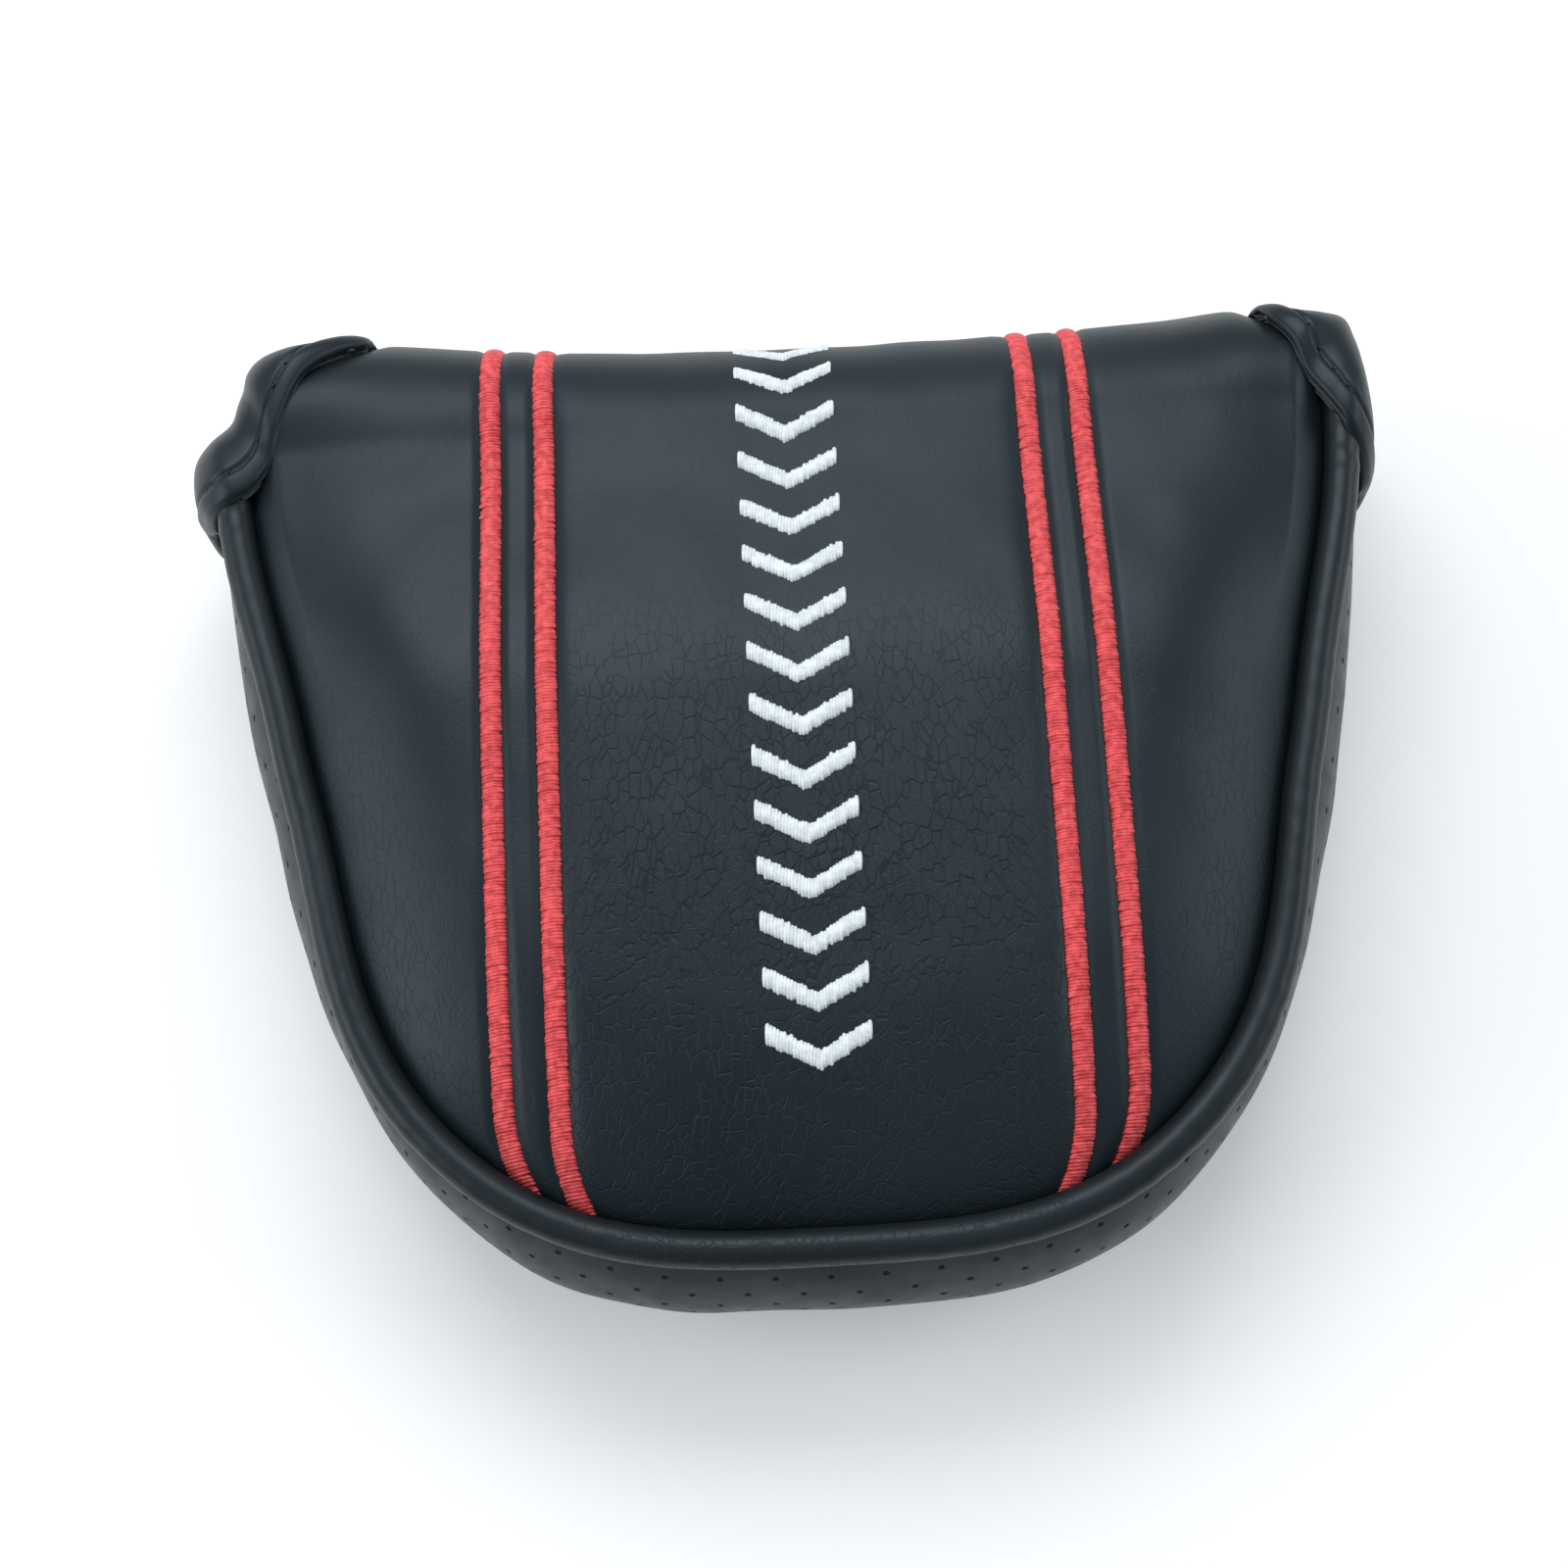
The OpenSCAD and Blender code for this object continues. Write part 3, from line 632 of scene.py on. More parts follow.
def piping(name, node, z, share, material, slot, seed):
    """A ring of radius r(s) along the outline: r0 times 1 plus a ripple that grows with the bend.

    share is the part of the piping's radius that the ring has.
    """
    path, run = outline_path(SEAM_INSET, fold_y + 4.5, 620)
    ahead = unit(np.gradient(path, axis=0))
    out = np.stack([ahead[:, 1], -ahead[:, 0]], -1)
    bend = np.abs(np.gradient(np.unwrap(np.arctan2(ahead[:, 1], ahead[:, 0])), run))
    angle = np.linspace(0, 2 * np.pi, 25)[:-1]
    s, a = np.meshgrid(run, angle, indexing="ij")
    uneven = wave_noise(s, a * piping_r, 3.2, seed)
    inner_side = smooth((1 - np.cos(a)) / 2)
    end = np.minimum(s, run[-1] - s)
    gathered = smooth((17 - end) / 6) * smooth((end - 5) / 3)
    gathers = np.sin(s * 2.6 + 0.5 * np.sin(s)) * gathered
    radius = piping_r * share * (1 + uneven * (0.006 + 0.25 * bend[:, None] * inner_side) + 0.025 * gathers)
    tuck = smooth((6.5 - end) / 4)
    x = path[:, 0, None] * (1 - 0.03 * tuck) + out[:, 0, None] * radius * np.cos(a)
    y = path[:, 1, None] + out[:, 1, None] * radius * np.cos(a)
    up = radius * np.sin(a) - math.copysign(3.2, z - lower_z - 3) * tuck
    piece = tube(name, np.stack([x, y, z + up], -1), material)
    finish_piece(piece, "pouch", slot, node)


piping("piping_front", "front_piping", front_seam_z, 1, piping_leather, "piping_leather", 3)
piping("piping_back", "back_piping", back_seam_z, 1, piping_leather, "piping_leather", 8)
piping("front_cord", "front_piping_cord", front_seam_z, CORD_SHARE, piping_cord, "piping_cord", 3)
piping("back_cord", "back_piping_cord", back_seam_z, CORD_SHARE, piping_cord, "piping_cord", 8)

# %% [markdown]
# ## Gusset
# The gusset is the band that joins front and back. The padding pushes it out between the seams,
# so its section is a parabola, and it has a few shallow upright waves. Its map is measured along
# and across the band for the perforations. The lining is a second, thinner band behind it.

# %% Gusset
GUSSET_FROM_SEAM = 1.35
GUSSET_SLACK = 0.45
GUSSET_LINING_BACK = 1.95
ARC_PER_HEIGHT = 1.18
HOLE_SHIFT = 0.9
gusset_top = front_seam_z - GUSSET_FROM_SEAM
gusset_bottom = back_seam_z + GUSSET_FROM_SEAM
gusset_mid = (gusset_top + gusset_bottom) / 2


def gusset_surface(depth, along, up_steps):
    """Rows up the band, columns along it: inset grows as the square of the way from mid height.

    The ends are tucked in by 1.6 mm under the hoods.
    """
    z = np.linspace(gusset_bottom, gusset_top, up_steps)
    from_mid = (z - gusset_mid) / (gusset_top - gusset_mid)
    insets = mix(GUSSET_SLACK, SEAM_INSET, from_mid**2) + depth
    strips = [outline_path(inset, fold_y - 3.2, along) for inset in insets]
    path = np.stack([strip[0] for strip in strips])
    run = np.stack([strip[1] for strip in strips])
    high = np.broadcast_to(z[:, None], run.shape)
    bulge = np.sin(np.pi * (high - gusset_bottom) / (gusset_top - gusset_bottom))
    wave = np.sin(run / 4.1 + 0.6) + 0.8 * np.sin(run / 2.6 + high / 8) + wave_noise(run, high, 14, 5)
    ahead = unit(np.gradient(path, axis=1))
    swell = (0.08 * wave * bulge)[..., None]
    path = path + swell * np.stack([ahead[..., 1], -ahead[..., 0]], -1)
    tuck = 1.6 * smooth((path[..., 1] - 32.4) / 3)
    x = path[..., 0] - np.sign(path[..., 0]) * tuck
    return np.stack([x, path[..., 1], high], -1), run


band, band_run = gusset_surface(0, 420, 34)
band_along = (band_run / band_run[:, -1:] - 0.5) * band_run[:, -1].mean()
band_uv = np.stack([band_along, (band[..., 2] - gusset_bottom) * ARC_PER_HEIGHT - HOLE_SHIFT], -1)
gusset = shell("gusset_band", band, gusset_surface(LEATHER, 420, 34)[0], gusset_leather, band_uv)
finish_piece(gusset, "pouch", "perforated_leather", "gusset")

fleece_outer = gusset_surface(LEATHER + GAP, 200, 16)[0]
fleece_inner = gusset_surface(GUSSET_LINING_BACK, 200, 16)[0]
gusset_fleece = shell("gusset_fleece", fleece_outer, fleece_inner, fleece_lining)
finish_piece(gusset_fleece, "pouch", "fleece_lining", "gusset_lining")

# %% [markdown]
# ## The long sheet
# Front panel, folds and strap are one piece of padded leather. Its section in the YZ plane is a line,
# a quarter circle, a short line, a quarter circle and a line. A point on the sheet is named by its x
# and by s, the length run along that section from where the first fold starts. Everything
# that is sewn to the sheet is laid out in x and s, and one function puts it in space.

# %% Section of the long sheet
S_UPPER = FOLD_R * math.pi / 2
S_LOWER = S_UPPER + (upper_z - lower_z)
S_FLAT = S_LOWER + FOLD_R * math.pi / 2
S_MID = (S_UPPER + S_LOWER) / 2
S_END = S_FLAT + fold_y - tongue_end_y
print("fold ends at", round(S_UPPER, 2), "back fold", round(S_LOWER, 2), round(S_FLAT, 2), "end", S_END)


def section(s):
    """y, z and the outward direction of the section after a run of s past the fold line."""
    upper = np.clip(s, 0, S_UPPER) / FOLD_R
    lower = np.clip(s - S_LOWER, 0, S_FLAT - S_LOWER) / FOLD_R
    y = fold_y + np.minimum(s, 0) + FOLD_R * (np.sin(upper) + np.cos(lower) - 1)
    y = y - np.maximum(s - S_FLAT, 0)
    z = upper_z + FOLD_R * (np.cos(upper) - np.sin(lower))
    z = z - np.clip(s - S_UPPER, 0, S_LOWER - S_UPPER)
    return y, z, np.sin(upper + lower), np.cos(upper + lower)


# %% [markdown]
# ## Shape of the padding
# The foam makes the front a dome that is steep at the piping and almost level in the middle, and
# the fold flattens it. Where the hoods grip the corners the dome is pressed down. The strap's
# corners stand out a little at the fold, the left one more. Each stripe of stitches pulls the
# leather into a groove, with a small ridge left between the twins.


# %% Heights over the section
def dome(x, s):
    """28 mm at the edge plus 7.5 (1 - (1 - d/30)^2.5), levelled at the fold, less the hood's press."""
    y = fold_y + np.minimum(s, 0)
    share = 1 - (1 - np.minimum(edge_distance(x, y, SEAM_INSET) / 30, 1)) ** 2.5
    high = 28 + 7.5 * share
    high = high - smooth((y - 8) / (fold_y - 8)) * np.maximum(0, high - fold_top_z)
    past_hem = 0.79 * (np.abs(x) - 60.7) + 0.61 * (y - 34)
    high = high - 1.6 * smooth((past_hem + 1) / 4)
    return (high - fold_top_z) * (1 - smooth(s / 9.4))


def fold_lift(x, s):
    """How far the corners of the fold stand out: a power of |x|, under a bell along s."""
    bell = smooth((s + 2) / 12) * (1 - smooth((s - 18) / 14))
    return bell * (2.8 * np.maximum(-x / 45, 0) ** 1.9 + 1.2 * np.maximum(x / 45, 0) ** 3)


def stripe_start(x0):
    """The s at which a stripe leaves the seam at the tip's side."""
    return outline_y(abs(x0) - 2.0, PANEL_INSET) - fold_y - 0.5


def stripe_stop(x0):
    """The s at which a stripe ends on the tongue: the outer ones stop before its round corner."""
    return S_FLAT + fold_y - (3.0 if abs(x0) > 30 else -4.0)


def stripe_line(x0, s):
    """x of a stripe's middle: straight, then hooked inwards over the last 9 mm."""
    hook = 2.5 * np.clip(1 - (s - stripe_start(x0)) / 9, 0, 1) ** 2
    return x0 - math.copysign(1.0, x0) * hook


def pull(x, s):
    """Depth of the grooves: flat under each stripe with soft sides, shallower on the strap."""
    deep = mix(0.6, 0.35, smooth((s + 4) / 14))
    total = 0.0
    for x0 in STRIPES:
        here = smooth((s - stripe_start(x0) + 1) / 3) * smooth((stripe_stop(x0) - s + 1) / 3)
        off = np.abs(x - stripe_line(x0, s))
        total = total - deep * here * (1 - smooth((off - 0.5) / 1.6))
    return total


# %% [markdown]
# ## Padding, simulated
# Foam pushes the leather out between the lines of stitches that hold it down. A cloth simulation
# finds that shape: a coarse sheet is pinned at the seam, along the stripes and along the
# motif, is cut a little too large, and is blown up from below. It runs ten times life size, because
# the solver is made for garments. How far each point rises is smoothed, scaled so that the
# highest point stands 0.55 mm proud, and kept as a table over x and s. The fine sheet reads the
# table, so it needs no remeshing.

# %% Cloth simulation
PUFF_X = np.linspace(-57, 57, 96)
PUFF_S = np.linspace(-88, 20, 92)
PUFF_HEIGHT = 0.55
CLOTH_SCALE = 10
MOTIF_HALF_W = 5.0
MOTIF_LOW_S = -70.5


def sheet_place(x, s, height):
    """The point at x and s, raised by height along the section's outward direction."""
    y, z, out_y, out_z = section(s)
    return np.stack([x + 0 * s, y + out_y * height, z + out_z * height], -1)


def simulate_puff():
    """Rise of the leather between its stitch lines, in mm, for each x and s of the table."""
    x, s = np.meshgrid(PUFF_X, PUFF_S, indexing="ij")
    base = dome(x, s) + fold_lift(x, s)
    start = sheet_place(x, s, base)
    held = edge_distance(x, fold_y + np.minimum(s, 0), PANEL_INSET) < 1.0
    for x0 in STRIPES:
        held = held | (np.abs(x - stripe_line(x0, s)) < 0.65)
    held = held | ((np.abs(x) < 4.4) & (s > MOTIF_LOW_S)) | (s > 18.5)
    mesh = bpy.data.meshes.new("puff_sheet")
    corners = (start.reshape(-1, 3) * MM * CLOTH_SCALE).tolist()
    mesh.from_pydata(corners, [], grid_quads(*x.shape)[:, ::-1].tolist())
    sheet = bpy.data.objects.new("puff_sheet", mesh)
    bpy.context.scene.collection.objects.link(sheet)
    sheet.vertex_groups.new(name="held").add(np.flatnonzero(held.ravel()).tolist(), 1.0, "REPLACE")
    cloth = sheet.modifiers.new("cloth", "CLOTH")
    settings = cloth.settings
    settings.quality = 6
    settings.mass = 0.3
    settings.tension_stiffness = 20
    settings.compression_stiffness = 20
    settings.shear_stiffness = 8
    settings.bending_stiffness = 6.0
    settings.shrink_min = -0.001
    settings.use_pressure = True
    settings.uniform_pressure_force = 4
    settings.vertex_group_mass = "held"
    settings.effector_weights.gravity = 0
    cloth.collision_settings.use_collision = False
    scene = bpy.context.scene
    for frame_number in range(1, 21):
        scene.frame_set(frame_number)
    settled = sheet.evaluated_get(bpy.context.evaluated_depsgraph_get()).to_mesh()
    flat = np.empty(len(settled.vertices) * 3, np.float32)
    settled.vertices.foreach_get("co", flat)
    moved = flat.reshape(start.shape) / MM / CLOTH_SCALE - start
    scene.frame_set(1)
    bpy.data.objects.remove(sheet)
    bpy.data.meshes.remove(mesh)
    out_y, out_z = section(s)[2:]
    rise = moved[..., 1] * out_y + moved[..., 2] * out_z
    print("simulated rise from", round(rise.min(), 2), "to", round(rise.max(), 2), "mm")
    for _ in range(4):
        rise[1:-1] = (rise[:-2] + 2 * rise[1:-1] + rise[2:]) / 4
        rise[:, 1:-1] = (rise[:, :-2] + 2 * rise[:, 1:-1] + rise[:, 2:]) / 4
    return PUFF_HEIGHT * rise / max(rise.max(), 0.1)


puff_table = simulate_puff()


def puff(x, s):
    """The table read with quadratic B-spline weights, fading out at the seam and past the fold."""
    i = np.clip((x - PUFF_X[0]) / (PUFF_X[1] - PUFF_X[0]), 1, len(PUFF_X) - 2)
    j = np.clip((s - PUFF_S[0]) / (PUFF_S[1] - PUFF_S[0]), 1, len(PUFF_S) - 2)
    a, b = np.rint(i).astype(int), np.rint(j).astype(int)
    u, v = i - a, j - b
    across = ((0.5 - u) ** 2 / 2, 0.75 - u**2, (0.5 + u) ** 2 / 2)
    along = ((0.5 - v) ** 2 / 2, 0.75 - v**2, (0.5 + v) ** 2 / 2)
    total = 0.0
    for m in range(3):
        for n in range(3):
            total = total + across[m] * along[n] * puff_table[a + m - 1, b + n - 1]
    inside = edge_distance(x, fold_y + np.minimum(s, 0), PANEL_INSET)
    return total * (1 - smooth((s - 12) / 7)) * smooth((inside - 1) / 9)


def relief(x, s):
    """Height of the outer face over the section: dome, fold, puff, grooves, and a dip at the seam."""
    y = fold_y + np.minimum(s, 0)
    dip = -1.8 * np.exp(-edge_distance(x, y, PANEL_INSET) / 1.3) * (1 - smooth((s + 4) / 5))
    small = 0.04 * wave_noise(x * 1.2, s, 11, 31)
    return dome(x, s) + fold_lift(x, s) + puff(x, s) + pull(x, s) + dip + small


def sheet_point(x, s, depth=0.0):
    """The point of the sheet at x and s, a depth below its outer face."""
    return sheet_place(x, s, relief(x, s) - depth)


# %% [markdown]
# ## Layers of the strap
# The strap is sewn edge to edge from leather and fleece and turned, so its edges are round and the
# seam runs along their middle. A layer at some depth is a circle's arc about the middle of the
# edge: the further in, the smaller the arc. The same rule serves leather, pad and fleece.

# %% Strap layers
STRAP_HALF_T = 1.95
TONGUE_CORNER_R = 12.0


def strap_half_w(x, s):
    """Half width on x's side: at the front fold 50.5 on the right and 43.4 on the left, then narrower."""
    z = section(s)[1]
    at_fold = np.where(x > 0, 50.5, 43.4)
    bridge = at_fold - (at_fold - 36.5) * np.clip((25 - z) / 20, 0, 1)
    return bridge - 2 * smooth((s - S_FLAT) / (S_END - S_FLAT - TONGUE_CORNER_R))


def strap_edge(x, s):
    """Distance in from the strap's edge, with round corners at the tongue's end."""
    side = strap_half_w(x, s) - np.abs(x)
    end = S_END - s
    in_corner = (side < TONGUE_CORNER_R) & (end < TONGUE_CORNER_R)
    arc = TONGUE_CORNER_R - np.hypot(TONGUE_CORNER_R - side, TONGUE_CORNER_R - end)
    return np.maximum(np.where(in_corner, arc, np.minimum(side, end)), 0)


def strap_layer(x, s, depth):
    """x, s and depth of a layer's point, turned about the middle of the edge where it is near it."""
    near = np.clip((STRAP_HALF_T - strap_edge(x, s)) / STRAP_HALF_T, 0, 1)
    step = 0.02
    grow_x = (strap_edge(x + step, s) - strap_edge(x - step, s)) / (2 * step)
    grow_s = (strap_edge(x, s + step) - strap_edge(x, s - step)) / (2 * step)
    size = np.maximum(np.hypot(grow_x, grow_s), 0.5)
    arm = STRAP_HALF_T - depth
    inward = (STRAP_HALF_T - np.abs(arm)) * near
    turned = STRAP_HALF_T - arm * np.sqrt(1 - near**2)
    return x + grow_x / size * inward, s + grow_s / size * inward, turned


def spread(marks, steps):
    """Positions from the first mark to the last, with the given step length in each stretch."""
    parts = [
        np.linspace(a, b, max(2, round((b - a) / step) + 1))[:-1]
        for a, b, step in zip(marks, marks[1:], steps)
    ]
    return np.concatenate([*parts, marks[-1:]])


ROLL_X = 46.0
FRONT_PAD_T = 3.0
STRAP_PAD_T = 1.7
PAD_INSET = 9.0
LINING_T = 1.0


def front_layer(front_depth, strap_depth, inset, coarse=1.0):
    """Front panel and first half of the bridge: rows along s, columns along x.

    On the panel a column keeps its x. Past the fold the outer columns draw in to the strap's edge
    and the outermost ones become its round side.
    """
    widest = float(outline_x(fold_y - 3, inset))
    steps = [coarse * step for step in (0.7, 1.0, 0.3, 0.9, 0.4)]
    half = spread([0, 6, 24, 34, ROLL_X, widest], steps)
    column = np.concatenate([-half[:0:-1], half])
    first = (outline_y(column, inset) - fold_y)[None, :]
    v = np.linspace(0, 1, round(165 / coarse))[:, None] ** 1.3
    panel_s = mix(first, 0.0, v)
    fold_s = np.linspace(0, S_MID, round(42 / coarse))[1:, None] + 0 * column
    s = np.concatenate([panel_s, fold_s])
    x = np.broadcast_to(column, s.shape)
    inner_w = strap_half_w(x, s) - STRAP_HALF_T
    out = np.abs(x)
    spare = (out - 33.5) / (ROLL_X - 33.5)
    turn = np.clip((out - ROLL_X) / (widest - ROLL_X), 0, 1) * np.pi / 2
    drawn = np.where(out < ROLL_X, 33.5 + spare * (inner_w - 33.5), inner_w + STRAP_HALF_T * np.sin(turn))
    drawn = np.sign(x) * np.where(out < 33.5, out, drawn)
    strap_x, strap_s, strap_d = strap_layer(drawn, s, strap_depth)
    t = smooth((s + 1) / 17)
    return sheet_point(mix(x, strap_x, t), mix(s, strap_s, t), mix(front_depth, strap_d, t))


def tongue_layer(depth, coarse=1.0):
    """Second half of the bridge and the tongue: rows along s, columns at shares of the half width."""
    end_turn = np.linspace(0, np.pi / 2, round(30 / coarse))[1:, None]
    corner_s = S_END - TONGUE_CORNER_R
    rows = np.concatenate([
        np.linspace(S_MID, S_FLAT, round(44 / coarse))[:-1, None],
        np.linspace(S_FLAT, corner_s, round(56 / coarse))[:, None],
        corner_s + TONGUE_CORNER_R * np.sin(end_turn),
    ])
    steps = [coarse * step for step in (0.9, 0.4, 0.5, 0.16)]
    half = spread([0, 23, 33.5, 34.5, 36.5], steps) / 36.5
    share = np.concatenate([-half[:0:-1], half])
    side = np.sqrt(np.maximum(TONGUE_CORNER_R**2 - np.maximum(rows - corner_s, 0) ** 2, 0))
    s = rows + 0 * share
    width = strap_half_w(share, s) - TONGUE_CORNER_R + side
    return sheet_point(*strap_layer(width * share, s, depth))


fold_front = (0, fold_y * MM, fold_top_z * MM)
bridge_top = (0, (fold_y + FOLD_R) * MM, upper_z * MM)
bridge_foot = (0, (fold_y + FOLD_R) * MM, lower_z * MM)
fold_back = (0, fold_y * MM, 0.0)
UPPER_BLEND = ("pouch", "bridge", fold_front, bridge_top)
LOWER_BLEND = ("bridge", "tongue", bridge_foot, fold_back)

front = shell(
    "front_leather",
    front_layer(0, 0, PANEL_INSET),
    front_layer(LEATHER, LEATHER, PANEL_INSET),
    panel_leather,
)
finish_piece(front, UPPER_BLEND, "panel_leather", "front_panel", "bridge_panel")

tongue = shell("tongue_leather", tongue_layer(0), tongue_layer(LEATHER), panel_leather)
finish_piece(tongue, LOWER_BLEND, "panel_leather", "tongue_panel")

foam_front = shell(
    "front_pad",
    front_layer(LEATHER + GAP, LEATHER + GAP, PAD_INSET, 3),
    front_layer(LEATHER + GAP + FRONT_PAD_T, LEATHER + GAP + STRAP_PAD_T, PAD_INSET, 3),
    pad_foam,
)
finish_piece(foam_front, UPPER_BLEND, "foam", "front_foam", "bridge_pad")
tongue_pad_layers = [tongue_layer(depth, 3) for depth in (LEATHER + 2 * GAP, LEATHER + GAP + STRAP_PAD_T)]
foam_tongue = shell("tongue_foam", *tongue_pad_layers, pad_foam)
finish_piece(foam_tongue, LOWER_BLEND, "foam", "tongue_pad")

fleece_front = shell(
    "front_fleece",
    front_layer(LEATHER + 2 * GAP + FRONT_PAD_T, LEATHER + 2 * GAP + STRAP_PAD_T, PAD_INSET, 2),
    front_layer(LEATHER + 2 * GAP + FRONT_PAD_T + LINING_T, 2 * STRAP_HALF_T, PAD_INSET, 2),
    fleece_lining,
)
finish_piece(fleece_front, UPPER_BLEND, "fleece_lining", "front_lining", "bridge_lining")
tongue_nap_layers = [tongue_layer(depth, 2) for depth in (LEATHER + 2 * GAP + STRAP_PAD_T, 2 * STRAP_HALF_T)]
fleece_tongue = shell("tongue_fleece", *tongue_nap_layers, fleece_lining)
finish_piece(fleece_tongue, LOWER_BLEND, "fleece_lining", "tongue_lining")

# %% [markdown]
# ## Embroidery
# A satin stripe is a column of threads laid side by side, each going down through the leather at both
# edges, so its edges are jagged. The threads are modelled one by one as small closed tubes,
# arched over the groove, with their ends below the leather. They are laid out in x and s, so they
# follow the sheet wherever it goes.


# %% Stitches
def stitches(name, starts, ends, outwards, thread_r, arch, material):
    """Closed tubes from starts to ends: five sides, six stations, arched along the outward direction."""
    t = np.linspace(0, 1, 6)[None, :, None, None]
    a = (np.arange(5) * 2 * np.pi / 5 + np.pi / 2)[None, None, :, None]
    starts, ends, outwards = (v[:, None, None, :] for v in (starts, ends, outwards))
    side = unit(np.cross(ends - starts, outwards))
    taper = np.sin(np.pi * mix(0.14, 0.86, t)) ** 0.5
    rise = arch * np.sin(np.pi * t) ** 0.55 - 0.25
    points = mix(starts, ends, t) + side * thread_r * taper * np.cos(a)
    points = points + outwards * (rise + 0.8 * thread_r * taper * np.sin(a))
    many = np.arange(len(points))[:, None, None] * 30
    quads = (grid_quads(6, 5, wrap=True)[None] + many).reshape(-1, 4)
    cap = np.array([[0, 1, 2], [0, 2, 3], [0, 3, 4]])
    triangles = (np.concatenate([cap[:, ::-1], cap + 25])[None] + many).reshape(-1, 3)
    return make_piece(name, points, quads, material, None, triangles)


def on_sheet(x, s):
    """Points of the sheet's face and its outward directions."""
    out_y, out_z = section(s)[2:]
    return sheet_point(x, s), np.stack([0 * s, out_y, out_z], -1)


def sewn(name, laid, thread_r, arch, material):
    """Stitches on the sheet from lists of starts and ends given as x and s."""
    near = np.concatenate([pair[0] for pair in laid])
    far = np.concatenate([pair[1] for pair in laid])
    start, out = on_sheet(near[:, 0], near[:, 1])
    return stitches(name, start, on_sheet(far[:, 0], far[:, 1])[0], out, thread_r, arch, material)


STITCH_PITCH = 0.32
STITCH_ARCH = 0.5
RED_THREAD_R = 0.27
WHITE_THREAD_R = 0.26


def satin_stripe(x0, low_s, high_s, seed):
    """Starts and ends of a stripe's threads: one each pitch, slightly slanted, with uneven ends."""
    rng = np.random.default_rng(seed)
    s = np.arange(low_s, high_s, STITCH_PITCH)
    jitter = rng.normal(0, 0.04, (4, len(s)))
    middle = stripe_line(x0, s)
    near = np.stack([middle - STRIPE_W / 2 + jitter[0], s - 0.10 + jitter[1]], -1)
    far = np.stack([middle + STRIPE_W / 2 + jitter[2], s + 0.10 + jitter[3]], -1)
    return near, far


FRONT_NODES = ("stripe_left_outer", "stripe_left_inner", "stripe_right_inner", "stripe_right_outer")
for number, (x0, node) in enumerate(zip(STRIPES, FRONT_NODES)):
    laid = [satin_stripe(x0, float(stripe_start(x0)), S_MID, 40 + number)]
    stripe = sewn(node + "_threads", laid, RED_THREAD_R, STITCH_ARCH, red_thread)
    finish_piece(stripe, UPPER_BLEND, "red_thread", node)

laid = [satin_stripe(x0, S_MID, float(stripe_stop(x0)), 50 + n) for n, x0 in enumerate(STRIPES)]
back_stripes = sewn("strap_stripe_threads", laid, RED_THREAD_R, STITCH_ARCH, red_thread)
finish_piece(back_stripes, LOWER_BLEND, "red_thread", "bridge_stripes", "tongue_stripes")

# %% [markdown]
# ## Motif
# Down the middle runs a column of plain white chevrons. Each arm is satin stitch with the threads
# along the column, so a chevron is a row of short threads whose starts follow a V. They go on over
# the fold, and those at the back of the bridge point down.

# %% Chevrons
MOTIF_PITCH = 5.6
MOTIF_SLOPE = 0.55
MOTIF_STROKE = 2.3


def chevron(tip_s, way, seed):
    """Starts and ends of one chevron's threads. way is 1 where it opens towards larger s."""
    rng = np.random.default_rng(seed)
    x = np.arange(-MOTIF_HALF_W, MOTIF_HALF_W + 0.01, STITCH_PITCH)
    edge = tip_s + way * MOTIF_SLOPE * np.abs(x)
    jitter = rng.normal(0, 0.09, (2, len(x)))
    near = np.stack([x, edge + jitter[0]], -1)
    far = np.stack([x + 0.08, edge + way * MOTIF_STROKE + jitter[1]], -1)
    return near, far


front_tips = [MOTIF_LOW_S + MOTIF_PITCH * k for k in range(15)]
laid = [chevron(tip, 1, 60 + n) for n, tip in enumerate(front_tips)]
laid += [chevron(S_UPPER - 0.2, -1, 80), chevron(S_UPPER + 5.4, -1, 81)]
motif = sewn("motif_front_threads", laid, WHITE_THREAD_R, STITCH_ARCH, white_thread)
finish_piece(motif, UPPER_BLEND, "white_thread", "front_motif")
laid = [chevron(S_UPPER + 11.0, -1, 82)]
motif_back = sewn("motif_bridge_threads", laid, WHITE_THREAD_R, STITCH_ARCH, white_thread)
finish_piece(motif_back, LOWER_BLEND, "white_thread", "bridge_motif")

# %% [markdown]
# ## Hoods
# A stretch hood closes each corner of the mouth. Its hem runs aslant over the front panel, crosses
# the piping and turns down the side. The hood is a surface between two curves: the hem, and the
# outline that it has from above. Between them the section is a superellipse quarter, flat on top
# and steep at the side, and the back half mirrors the front. A hem is folded in along the edge and
# sewn down: a round band, then a groove with stitches. The left hood sags into two lobes.

# %% Hood shape and its helpers
HOOD_MID_Z = 17.5
HEM_W = 2.7
HOOD_POWER = 2.8
HOOD_T = 1.4
RIM_R = 0.8
HEM_STITCH = 2.7


